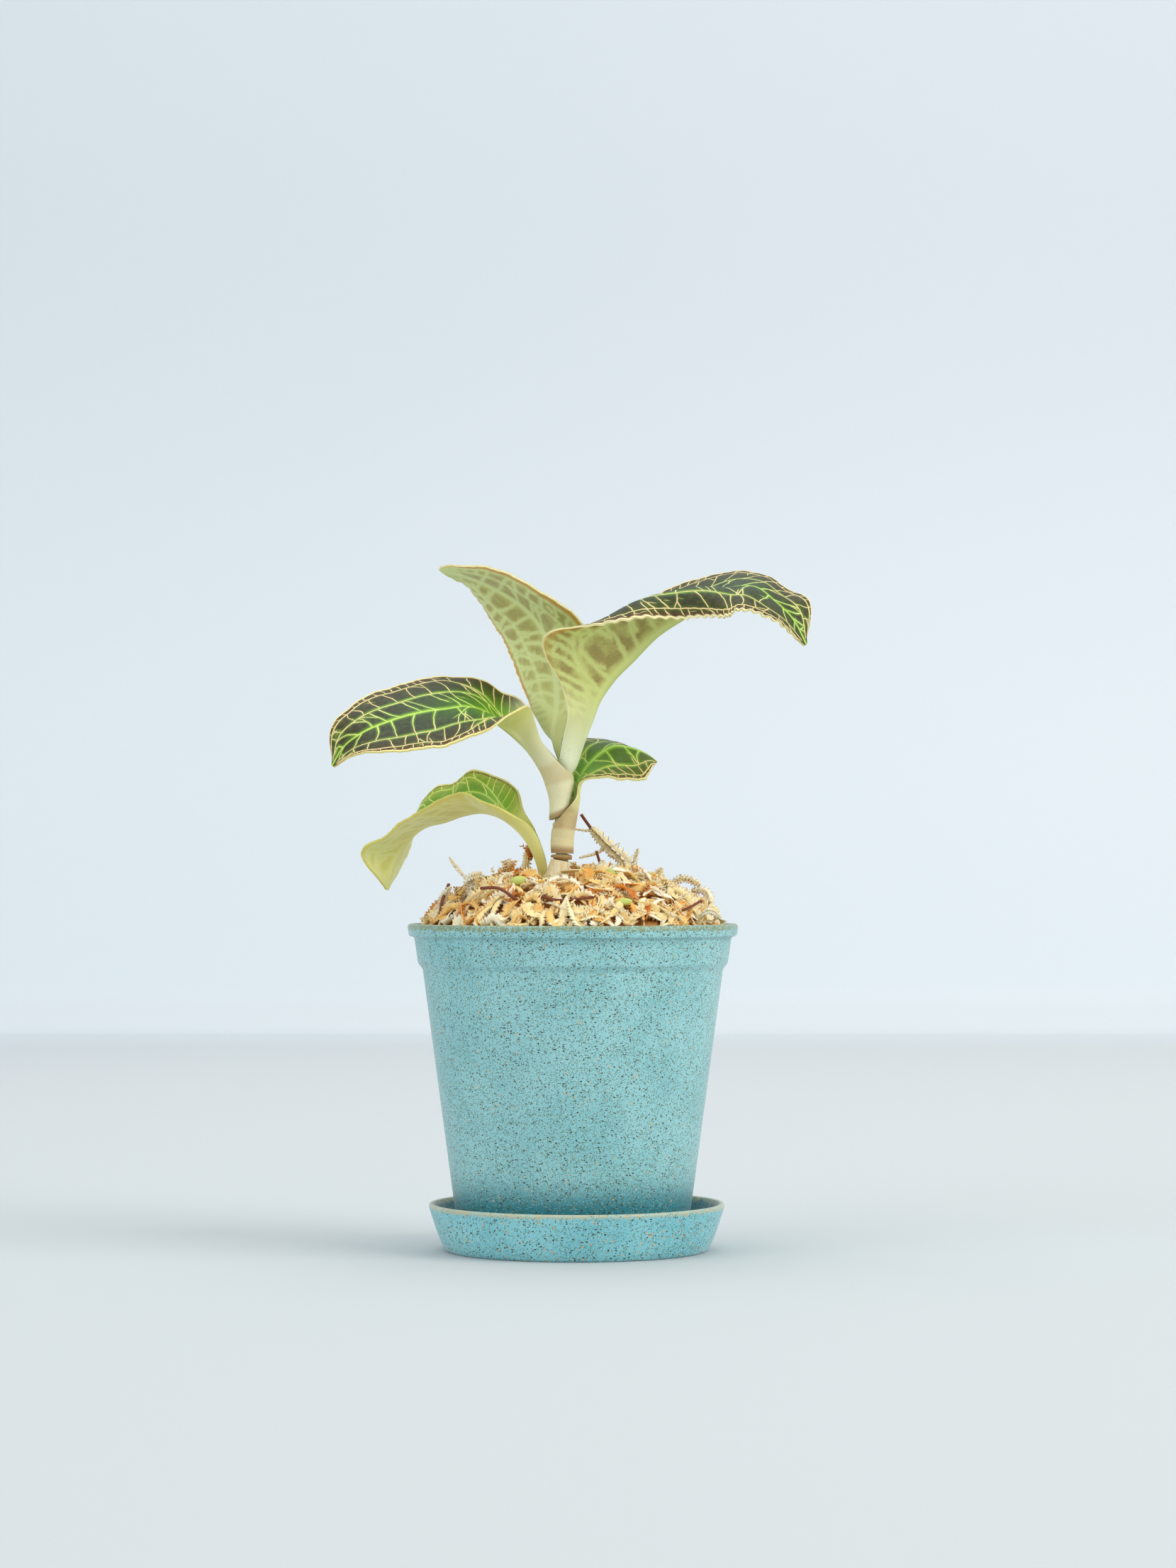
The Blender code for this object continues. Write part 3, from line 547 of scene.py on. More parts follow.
LEAF_TOP = [
    (-2.9, 0.0, 102.0, 0.9, -10, 60, 0, 10, 60, 0, 0),
    (-3.7, 0.0, 104.0, 1.3, -10, 70, 0, 10, 70, 0, 0),
    (-4.6, 0.2, 107.0, 2.3, -10, 70, 0, 20, 70, 0, 0),
    (-4.6, 1.2, 110.0, 4.2, -16, 70, 0, 50, 60, 0, 0),
    (-4.0, 2.5, 114.5, 7.0, -35, 30, 0, 66, 44, 0, 0),
    (-4.0, 4.5, 120.0, 10.0, -40, 20, 0, 60, 36, 0, 0),
    (-5.0, 7.0, 126.0, 12.6, -30, 20, 0, 56, 30, 0, 0),
    (-7.0, 8.5, 132.0, 14.4, -14, 20, 0, 54, 30, 0, 0),
    (-10.5, 8.5, 136.5, 14.4, -5, 20, 0, 50, 30, 0, 0),
    (-15.5, 9.0, 140.0, 12.8, -4, 20, 0, 44, 24, 0, 0),
    (-20.5, 9.5, 142.5, 9.4, -4, 20, 0, 34, 20, 0, 0),
    (-25.0, 10.0, 144.0, 5.4, -8, 10, 0, 20, 10, 0, 0),
    (-29.5, 10.0, 145.0, 0.4, -30, 0, 0, 30, 0, 0, 0),
]
LEAF_MIDDLE_LEFT = [
    (-5.5, 0.0, 90.9, 5.8, 0, 172, 0, 0, 172, 0, 3.6),
    (-5.5, 0.0, 95.5, 6.2, 0, 172, 0, 0, 172, 0, 0),
    (-6.2, 0.0, 98.3, 8.0, 0, 165, 0, 0, 165, 0, 0),
    (-6.8, -0.2, 100.2, 6.8, 0, 108, 0, 0, 108, 0, 0),
    (-7.9, -0.5, 102.4, 5.8, 0, 92, 0, 0, 92, 0, 0),
    (-10.3, -1.0, 106.0, 4.2, -16, 84, 0, -16, 84, 0, 0),
    (-13.3, -2.0, 109.0, 6.8, -56, 20, 0, -56, 20, 0, 1.2),
    (-16.5, -3.0, 111.5, 10.6, -14, 10, 0, -24, 20, 0, 0.8),
    (-19.5, -4.0, 113.5, 13.6, 9, 0, 0, -24, 10, 0, 0),
    (-23.5, -5.0, 114.5, 14.6, 18, -10, 0, -28, 0, 0, 0),
    (-27.0, -6.0, 114.0, 14.8, 22, -10, 0, -32, 0, 0, 0),
    (-31.0, -7.0, 113.5, 14.4, 29, -10, 0, -32, 0, 0, 0),
    (-35.5, -8.0, 112.5, 13.2, 31, -10, 0, -34, 0, 0, 0),
    (-40.0, -9.0, 111.0, 11.6, 33, -10, 0, -40, 0, 0, 0),
    (-44.5, -10.0, 109.0, 9.0, 32, -8, 0, -46, 0, 0, 0),
    (-48.5, -10.0, 106.0, 5.4, 28, -4, 0, -58, 0, 0, 0),
    (-51.0, -10.0, 102.0, 0.4, 30, 0, 0, -30, 0, 0, 0),
]
LEAF_BEHIND = [
    (-1.0, 0.0, 83.8, 6.2, 0, 172, 0, 0, 172, 0, 0),
    (-1.0, 0.0, 87.0, 6.2, 0, 172, 0, 0, 172, 0, 0),
    (-0.8, 0.0, 89.0, 5.6, 0, 135, 0, 0, 135, 0, 0),
    (-0.5, 0.0, 91.0, 4.6, 0, 95, 0, 0, 95, 0, 0),
    (0.0, 0.5, 94.8, 3.2, 25, 50, 0, 0, 70, 0, 0),
    (0.3, 1.5, 98.1, 3.6, 18, 30, 0, -10, 50, 0, -0.8),
    (1.4, 3.0, 100.7, 5.6, 32, 10, 0, -30, 30, 0, -2),
    (3.2, 4.4, 103.1, 7.6, 38, 0, 0, -34, 10, 0, -2.6),
    (5.6, 5.6, 105.3, 9.6, 46, 0, 0, -34, 0, 0, -2.4),
    (8.1, 6.6, 106.6, 10.2, 50, 0, 0, -14, 0, 0, 0.6),
    (10.8, 7.4, 106.4, 9.4, 43, 0, 0, -4, 0, 0, 2.6),
    (13.4, 8.0, 105.6, 7.2, 34, 0, 0, 0, 0, 0, 2.2),
    (15.5, 8.5, 104.5, 3.6, 24, 0, 0, 0, 0, 0, 0.9),
    (17.0, 8.9, 103.4, 0.4, 30, 0, 0, 0, 0, 0, 0),
]
LEAF_LOWER_LEFT = [
    (-7.6, 5.0, 74.0, 2.2, 0, 80, 0, 0, 80, 0, 0),
    (-7.6, 4.6, 78.0, 2.4, 0, 80, 0, 0, 80, 0, 0),
    (-8.0, 3.6, 81.0, 2.8, 0, 80, 0, 0, 80, 0, 0),
    (-9.0, 2.6, 84.0, 3.2, 0, 80, 0, 0, 80, 0, 0),
    (-11.0, 2.2, 87.5, 3.2, -10, 80, 0, -20, 80, 0, 0),
    (-14.0, 3.2, 90.5, 4.0, 6, 50, 0, -56, 50, 0, 0),
    (-16.5, 4.5, 92.0, 7.4, 0, 20, 0, -42, 40, 0, 0),
    (-20.0, 6.0, 93.0, 10.4, -13, 10, 0, -34, 20, 0, 0),
    (-24.0, 8.0, 92.5, 12.4, -16, 0, 0, -40, 10, 0, 0),
    (-28.5, 10.0, 91.0, 13.0, -12, 0, 0, -34, 0, 0, 0),
    (-32.5, 12.0, 90.0, 12.4, -10, 0, 0, -32, 0, 0, 0),
    (-35.5, 14.0, 88.0, 11.6, -16, 0, 0, -16, 0, 0, 0),
    (-37.5, 15.0, 85.5, 9.8, -32, 0, 0, 2, 0, 0, 0),
    (-39.5, 16.0, 81.5, 8.0, -62, 0, 0, 10, 0, 0, 0),
    (-41.0, 16.5, 76.0, 0.4, -30, 0, 0, 10, 0, 0, 0),
]
print("leaf stations:", [len(stations) for stations in (LEAF_RIGHT, LEAF_TOP, LEAF_MIDDLE_LEFT,
                                                       LEAF_BEHIND, LEAF_LOWER_LEFT)])

# %% The rule that makes a surface of them
TANGENT_REACH = 5.0                 # the midrib's way is taken over this length each side
CLOSED_CUP = 172.0                  # a sheath's halves never quite meet
SECTION_STEPS = 24
CRIMP_STEP, CRIMP_HEIGHT = 4.5, 0.07        # a slow wave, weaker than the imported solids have
RUFFLE_STEP, RUFFLE_HEIGHT = 1.9, 0.16      # the fine wave of the margin itself


class Leaf:
    """One leaf's surface: a point for any place s along it and v across it, -1 near to 1 far."""

    def __init__(self, name, node, slot, stations, side, blade_station, ruffle=(0.3, 0.2)):
        self.name, self.node, self.slot, self.side, self.ruffle = name, node, slot, side, ruffle
        self.table = np.array(stations, float)
        steps = np.linalg.norm(np.diff(self.table[:, :3], axis=0), axis=1)
        self.length = float(steps.sum())
        self.knots = np.concatenate([[0.0], np.cumsum(steps)]) / self.length
        self.slopes = np.gradient(self.table, self.knots, axis=0)
        self.blade_from = float(self.knots[blade_station])

    def station(self, s):
        k = np.clip(np.searchsorted(self.knots, s, side="right") - 1, 0, len(self.knots) - 2)
        h = (self.knots[k + 1] - self.knots[k])[:, None]
        u = (s[:, None] - self.knots[k][:, None]) / h
        return ((2 * u ** 3 - 3 * u ** 2 + 1) * self.table[k]
                + (u ** 3 - 2 * u ** 2 + u) * h * self.slopes[k]
                + (3 * u ** 2 - 2 * u ** 3) * self.table[k + 1]
                + (u ** 3 - u ** 2) * h * self.slopes[k + 1])

    def points(self, s, v):
        s = np.asarray(s, float)
        v = np.asarray(v, float)
        reach = TANGENT_REACH / self.length
        here = self.station(s)
        ahead = self.station(np.minimum(s + reach, 1.0))[:, :3]
        behind = self.station(np.maximum(s - reach, 0.0))[:, :3]
        along = ahead - behind
        along /= np.linalg.norm(along, axis=1)[:, None]
        away = np.array((0.0, 1.0, 0.0)) - along[:, 1:2] * along
        away /= np.linalg.norm(away, axis=1)[:, None]
        under = self.side * np.cross(along, away)
        width = np.maximum(here[:, WIDTH], 0.0)
        far = v >= 0
        dip = np.where(far, here[:, FAR_DIP], here[:, NEAR_DIP])
        cup = np.minimum(np.where(far, here[:, FAR_CUP], here[:, NEAR_CUP]), CLOSED_CUP)
        fold = np.where(far, here[:, FAR_FOLD], here[:, NEAR_FOLD])
        reach_v = np.abs(v)
        step = ((np.arange(SECTION_STEPS) + 0.5) / SECTION_STEPS)[None, :] * reach_v[:, None]
        angle = np.radians(dip[:, None] - cup[:, None] * step
                           + fold[:, None] * step ** 2 * (3 - 2 * step))
        down = np.sin(angle).mean(axis=1) * width * reach_v
        out = np.cos(angle).mean(axis=1) * width * reach_v * np.sign(v)
        blade = np.clip((s - 0.35) / 0.1, 0, 1) * np.clip((1 - s) / 0.06, 0, 1)
        wave = CRIMP_HEIGHT * reach_v ** 5 * np.sin(2 * math.pi * s * self.length / CRIMP_STEP)
        ruffle = np.where(far, self.ruffle[1], self.ruffle[0])
        wave = wave + (ruffle * RUFFLE_HEIGHT * reach_v ** 12
                       * np.sin(2 * math.pi * s * self.length / RUFFLE_STEP + 2 * np.sin(9 * s)))
        down = down + blade * wave
        return (here[:, :3] + under * down[:, None] + away * out[:, None]
                + along * (here[:, AHEAD] * v * v)[:, None])

    def upward(self, s, v, reach=0.004):
        """The direction that the upper side faces."""
        s = np.asarray(s, float)
        v = np.asarray(v, float)
        s_low, s_high = np.maximum(s - reach, 0.0), np.minimum(s + reach, 1.0)
        v_low, v_high = np.maximum(v - 4 * reach, -1.0), np.minimum(v + 4 * reach, 1.0)
        along = self.points(s_high, v) - self.points(s_low, v)
        across = self.points(s, v_high) - self.points(s, v_low)
        normal = -self.side * np.cross(along, across)
        size = np.linalg.norm(normal, axis=1)[:, None]
        return normal / np.maximum(size, 1e-9)

    def half_width(self, s):
        return np.maximum(self.station(np.atleast_1d(np.asarray(s, float)))[:, WIDTH], 0.0)


leaves = [
    Leaf("leaf_lower_left", "leaf_1_lower_left", "leaf_lower_left", LEAF_LOWER_LEFT, 1, 5),
    Leaf("leaf_behind", "leaf_2_behind_stem", "leaf_behind_stem", LEAF_BEHIND, -1, 4),
    Leaf("leaf_middle_left", "leaf_3_middle_left", "leaf_middle_left", LEAF_MIDDLE_LEFT, 1, 6),
    Leaf("leaf_right", "leaf_4_right", "leaf_right", LEAF_RIGHT, -1, 5, (1.6, 0.3)),
    Leaf("leaf_top", "leaf_5_top", "leaf_top", LEAF_TOP, 1, 3, (0.2, 0.6)),
]
for leaf in leaves:
    print(leaf.name, round(leaf.length, 1), "mm along its midrib")

# %% [markdown]
# The net of veins. It is what the plant is grown for: a midrib, two long veins in each half that
# follow the margin, and between them slanting cross veins that fork and meet, like the panes of a
# leaded window. A cell texture gives a net too, but an even one with no long veins. So the net is
# grown here by a seeded rule, in the leaf's own two directions, and serves three times: as raised
# threads on the upper side, as green light beside them, and as pale bands on the underside.

# %% Grow the veins
LONG_VEINS = {-1.0: (0.58, 0.87), 1.0: (0.47, 0.84)}    # share of the near and the far half
OUTERMOST = 0.955                   # cross veins end this far out, at the margin's brown line
VEIN_END = 0.985                    # and along the leaf all of them end here
LONG_THICK, CROSS_THICK, FORK_THICK, SPUR_THICK = 0.42, 0.36, 0.31, 0.26
LONG_SAMPLES, CROSS_SAMPLES = 90, 14
VEIN_SEED = 40
VEIN_SAMPLE = 0.22                  # millimetres between the samples in the end
TIERS = [
    # from the midrib outwards: millimetres between cross veins, their slant, share that fork
    (4.3, 4.2, 0.5), (3.5, 2.0, 0.4), (2.3, 0.7, 0.0),
]


def long_vein(leaf, share, sign, wobble):
    """Where a long vein lies across the leaf: it leaves the midrib where the blade starts."""
    def at(s):
        rise = np.clip((s - leaf.blade_from) / (0.10 + 0.16 * share), 0.0, 1.0)
        rise = rise * rise * (3 - 2 * rise)
        return sign * (share * (0.25 + 0.75 * rise) + 0.018 * np.sin(23 * s + wobble))
    return at


def grow_veins(leaf, seed):
    """Lists of (s, v, thickness) samples: first the long veins, then the cross veins."""
    rng = random.Random(seed)
    mains, crosses = [], []
    widest = leaf.table[:, WIDTH].max()
    for sign in (-1.0, 1.0):
        curves = [lambda s: 0.0 * s]
        for share in LONG_VEINS[sign]:
            curve = long_vein(leaf, share, sign, rng.uniform(0, 6.3))
            curves.append(curve)
            s = np.linspace(leaf.blade_from, VEIN_END, LONG_SAMPLES)
            mains.append((s, curve(s), np.full(LONG_SAMPLES, LONG_THICK)))
        curves.append(lambda s, sign=sign: sign * (OUTERMOST + 0.0 * s))
        for tier, (step, lean, forks) in enumerate(TIERS):
            between = (leaf, curves[tier], curves[tier + 1])
            s = leaf.blade_from - 0.04 + rng.uniform(0.0, 0.03)
            while s < OUTERMOST:
                size = float(leaf.half_width(s)[0]) / widest
                chance = rng.uniform(0.4, 1.5)
                if sign < 0:
                    chance = 1.5 * chance - 0.95
                slant = lean * (0.35 + 0.65 * size) * chance / leaf.length
                crosses.append(cross_vein(rng, between, s, slant, 0.0, 1.0, CROSS_THICK))
                if rng.random() < forks:
                    start = rng.uniform(0.3, 0.62)
                    turn = rng.choice((-1.0, 1.0)) * rng.uniform(1.0, 1.9) / leaf.length
                    crosses.append(cross_vein(rng, between, s, slant, start, 1.0, FORK_THICK, turn))
                if rng.random() < 0.25:
                    start = rng.uniform(0.25, 0.7)
                    turn = rng.choice((-1.0, 1.0)) * rng.uniform(0.8, 1.3) / leaf.length
                    end = start + rng.uniform(0.08, 0.2)
                    crosses.append(cross_vein(rng, between, s, slant, start, end, SPUR_THICK, turn))
                s += step * (0.45 + 0.55 * size) * rng.uniform(0.65, 1.35) / leaf.length
    return mains, crosses


def cross_vein(rng, between, s, slant, start, end, thick, turn=0.0):
    """A crooked vein between two long ones. A branch starts part of the way and turns aside."""
    leaf, inner, outer = between
    t = np.linspace(start, end, CROSS_SAMPLES)
    bend = rng.uniform(-0.35, 0.35) * slant
    kink = np.cumsum([rng.uniform(-1.0, 1.0) for _ in range(CROSS_SAMPLES)]) * 0.0014
    grown = (t - start) / max(end - start, 1e-6)
    places = s + slant * t + bend * np.sin(math.pi * t) + turn * grown
    if not turn:
        places = places + kink
    places = np.clip(places, leaf.blade_from + 0.01, VEIN_END)
    across = inner(places) * (1 - t) + outer(places) * t
    width = thick * (1.0 + 0.25 * np.sin(5 * t + rng.uniform(0, 6)))
    if turn and end < 0.99:
        width = width * (1.0 - 0.6 * grown)
    return places, across, width


def resample(leaf, vein):
    """Samples of a vein at even steps on the leaf."""
    s, v, width = vein
    ground = leaf.points(s, v)
    run = np.concatenate([[0.0], np.cumsum(np.linalg.norm(np.diff(ground, axis=0), axis=1))])
    count = max(int(run[-1] / VEIN_SAMPLE), 3)
    even = np.linspace(0.0, run[-1], count)
    return np.interp(even, run, s), np.interp(even, run, v), np.interp(even, run, width)


nets = {}
for index, leaf in enumerate(leaves):
    mains, crosses = grow_veins(leaf, VEIN_SEED + index)
    nets[leaf.name] = ([resample(leaf, m) for m in mains], [resample(leaf, c) for c in crosses])
    print(leaf.name, len(mains), "long and", len(crosses), "cross veins")

# %% [markdown]
# The skin of a leaf. Upper side and underside are two sheets, half a millimetre apart, closed at
# the margin, so that each can have its own finish. How near each point lies to a vein is measured
# once and stored on the mesh, and the finishes read it. Between the veins the upper side swells a
# little, as the real one does.

# %% Build a leaf's skin
SKIN_ROWS = 260
SKIN_COLUMNS = 61
COLUMN_EASE = 0.72                  # columns stand closer towards the margins
SKIN_THICK = 0.7
MARGIN_THIN = 0.45                  # how much of the thickness is gone at the margin
SWELL = 0.12
KEEL = 0.35


def gaps_to(leaf, veins, ground):
    """Millimetres from each point of the ground to the nearest sample of the veins."""
    samples = np.vstack([leaf.points(s, v) for s, v, _ in veins])
    tree = kdtree.KDTree(len(samples))
    for k, p in enumerate(samples):
        tree.insert(p, k)
    tree.balance()
    return np.array([tree.find(p)[2] for p in ground])


def build_skin(leaf, finishes):
    s_axis = np.linspace(0.0, 1.0, SKIN_ROWS)
    eased = np.sin(np.linspace(-1.0, 1.0, SKIN_COLUMNS) * math.pi / 2 * COLUMN_EASE)
    v_axis = eased / math.sin(math.pi / 2 * COLUMN_EASE)
    s, v = [grid.ravel() for grid in np.meshgrid(s_axis, v_axis, indexing="ij")]
    ground = leaf.points(s, v)
    up = leaf.upward(s, v)
    mains, crosses = nets[leaf.name]
    rib_gap = gaps_to(leaf, [resample(leaf, (s_axis, 0.0 * s_axis, s_axis))], ground)
    main_gap = gaps_to(leaf, mains, ground)
    cross_gap = gaps_to(leaf, crosses, ground)
    blade = np.clip((s - leaf.blade_from) / 0.06, 0.0, 1.0)
    vein_gap = np.minimum(np.minimum(rib_gap, main_gap), cross_gap)
    swell = SWELL * blade * np.clip(vein_gap / 0.6, 0, 1) * np.clip((1 - np.abs(v)) / 0.12, 0, 1)
    keel = KEEL * np.exp(-(rib_gap / 0.7) ** 2) * np.clip(s / 0.3, 0, 1)
    keel = keel * np.clip((1 - s) / 0.2, 0, 1)
    thick = SKIN_THICK * (1.0 - MARGIN_THIN * np.abs(v) ** 3 * blade)
    top = ground + up * (thick / 2 + swell)[:, None]
    low = ground - up * (thick / 2 + keel)[:, None]
    shift = SKIN_ROWS * SKIN_COLUMNS
    index = np.arange(shift).reshape(SKIN_ROWS, SKIN_COLUMNS)
    quads = np.stack([index[:-1, :-1], index[1:, :-1], index[1:, 1:], index[:-1, 1:]], axis=-1)
    quads = quads.reshape(-1, 4)
    if leaf.side > 0:
        quads = quads[:, ::-1]
    faces = [tuple(q) for q in quads] + [tuple(q) for q in quads[:, ::-1] + shift]
    edge = [*index[:, 0], *index[-1, 1:], *index[-2::-1, -1], *index[0, -2:0:-1]]
    for here, after in zip(edge, edge[1:] + edge[:1]):
        side = (here, after, after + shift, here + shift)
        faces.append(side if leaf.side < 0 else side[::-1])
    stored_values = {"across": np.abs(v), "rib_gap": rib_gap, "main_gap": main_gap,
                     "cross_gap": cross_gap, "foot": s * leaf.length,
                     "along": (s - leaf.blade_from) / (1 - leaf.blade_from)}
    collector = Collector()
    collector.add(list(np.vstack([top, low])), faces,
                  **{key: list(np.tile(value, 2)) for key, value in stored_values.items()})
    skin = collector.make(leaf.name, finishes)
    slots = np.zeros(len(faces), np.int32)
    slots[len(quads):] = 1
    skin.data.polygons.foreach_set("material_index", slots)
    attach(skin, "root")
    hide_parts(leaf.node)
    return skin


print("a skin has", SKIN_ROWS * SKIN_COLUMNS * 2, "points")

# %% [markdown]
# Leaf finishes. The upper side of a jewel orchid is dark velvet, bottle green in the middle and
# brown towards the margin, with a line of bright green along every long vein. The underside is
# pale, and the dark panes between the veins show through it as brown clouds. A picture could be
# laid on, but it would blur close by, so two functions, one for each side, mix plain tones by how
# near a vein lies. The table of tones says how old and how dark each leaf is.

# %% Leaf tones
LEAF_ORDER = ("leaf_right", "leaf_top", "leaf_middle_left", "leaf_behind", "leaf_lower_left")
TONE_TABLE = {
    # the upper side: panes, the light beside a vein, the midrib, the margin
    "pane": [(40, 56, 26), (40, 56, 26), (42, 50, 26), (76, 106, 34), (84, 140, 14)],
    "pane_base": [(80, 128, 34), (80, 122, 34), (66, 116, 24), (120, 172, 40), (112, 166, 22)],
    "pane_rim": [(62, 50, 28), (74, 58, 30), (62, 44, 28), (84, 84, 34), (160, 176, 52)],
    "glow": [(112, 168, 40), (126, 176, 54), (118, 172, 42), (128, 186, 44), (140, 188, 40)],
    "rib": [(172, 212, 80), (180, 212, 92), (184, 218, 88), (184, 220, 90), (198, 218, 88)],
    "margin": [(236, 226, 168), (240, 230, 172), (238, 226, 150), (236, 228, 156), (228, 220, 122)],
    # the threads, out and in
    "thread": [(244, 206, 148), (234, 196, 140), (248, 206, 152), (234, 196, 134), (226, 224, 112)],
    "thread_in": [(212, 228, 126), (210, 224, 130), (220, 230, 124), (206, 224, 108),
                  (212, 224, 102)],
    # the underside: its ground, the clouds, the band at the margin, the veins
    "under": [(207, 213, 124), (198, 202, 122), (210, 216, 122), (214, 222, 142), (230, 230, 142)],
    "cloud": [(146, 120, 58), (158, 144, 78), (184, 176, 92), (186, 184, 100), (206, 204, 98)],
    "band": [(206, 140, 48), (204, 148, 58), (212, 174, 86), (206, 182, 94), (230, 218, 120)],
    "under_vein": [(214, 224, 142), (216, 226, 160), (216, 224, 144), (220, 226, 154),
                   (236, 238, 168)],
    # the stalk and the foot of the sheath
    "stalk": [(228, 236, 206), (216, 224, 168), (228, 226, 186), (216, 206, 158), (222, 222, 140)],
    "foot": [(220, 226, 186), (216, 224, 168), (168, 142, 92), (160, 128, 80), (190, 196, 110)],
}
TONES = {leaf_name: {tone: srgb(*row[k]) for tone, row in TONE_TABLE.items()}
         for k, leaf_name in enumerate(LEAF_ORDER)}
CLOUDY = dict(zip(LEAF_ORDER, (0.85, 0.85, 0.4, 0.4, 0.5)))     # how strong the clouds are
CLOUDS_FROM = {"leaf_right": (-0.04, 0.12)}                     # where along the blade they start
CLOUDS_USUALLY_FROM = (0.05, 0.4)
BELTS = {
    # a brown belt round the sheath: its tone, start and end in millimetres, strength
    "leaf_middle_left": (srgb(204, 178, 120), 7.0, 11.0, 0.4),
    "leaf_behind": (srgb(172, 146, 96), 4.6, 8.6, 0.75),
}
MARGIN_BROWN = srgb(98, 62, 34)
SHEATH_SPECK = srgb(170, 150, 112)
print(len(TONE_TABLE), "tones for each of", len(LEAF_ORDER), "leaves")


# %% The upper side
def leaf_upper_finish(name, tones):
    material, tree, shader = new_finish(name + " upper side", 0.5)
    across, along = stored(tree, "across"), stored(tree, "along")
    rib_gap, main_gap, cross_gap = [stored(tree, n) for n in ("rib_gap", "main_gap", "cross_gap")]
    mottle = place_noise(tree, 900.0, 4.0)
    inner = times(tree, soft_step(tree, along, 0.1, 0.6, 1.0, 0.0),
                  soft_step(tree, rib_gap, 1.5, 8.0, 1.0, 0.15))
    colour = mix(tree, inner, tones["pane"], tones["pane_base"])
    colour = mix(tree, soft_step(tree, along, 0.02, 0.3, 0.75, 0.0), colour, tones["glow"])
    rimward = times(tree, soft_step(tree, across, 0.4, 0.95),
                    soft_step(tree, mottle, 0.3, 0.6, 0.5, 1.0))
    colour = mix(tree, rimward, colour, tones["pane_rim"])
    colour = mix(tree, soft_step(tree, along, 0.55, 1.0, 0.0, 0.7), colour, tones["pane_rim"])
    fresh = soft_step(tree, along, 0.45, 0.95, 1.0, 0.15)
    near_rib = soft_step(tree, rib_gap, 1.0, 7.0, 0.7, 0.15)
    lit = times(tree, soft_step(tree, cross_gap, 0.12, 0.6, 1.0, 0.0), near_rib)
    colour = mix(tree, lit, colour, tones["glow"])
    lit = times(tree, soft_step(tree, main_gap, 0.15, 0.95, 0.9, 0.0),
                soft_step(tree, across, 0.62, 0.86, 1.0, 0.12))
    colour = mix(tree, times(tree, lit, fresh), colour, tones["glow"])
    lit = times(tree, soft_step(tree, rib_gap, 0.3, 1.4, 0.85, 0.0), fresh)
    colour = mix(tree, lit, colour, tones["glow"])
    colour = mix(tree, soft_step(tree, rib_gap, 0.12, 0.55, 1.0, 0.0), colour, tones["rib"])
    colour = mix(tree, soft_step(tree, mottle, 0.4, 0.75, 0.0, 0.12), colour, tones["glow"])
    brown = times(tree, soft_step(tree, across, 0.90, 0.945),
                  soft_step(tree, mottle, 0.3, 0.6, 0.4, 0.9))
    colour = mix(tree, brown, colour, MARGIN_BROWN)
    colour = mix(tree, soft_step(tree, across, 0.95, 0.98), colour, tones["margin"])
    colour = mix(tree, soft_step(tree, along, -0.05, 0.09, 1.0, 0.0), colour, tones["stalk"])
    tree.links.new(colour, shader.inputs["Base Color"])
    velvet = place_noise(tree, 5200.0, 2.0, 0.6)
    tree.links.new(soft_step(tree, velvet, 0.25, 0.75, 0.4, 0.62), shader.inputs["Roughness"])
    shader.inputs["Specular IOR Level"].default_value = 0.28
    add_bump(tree, shader, velvet, 0.35, 0.00008)
    return material


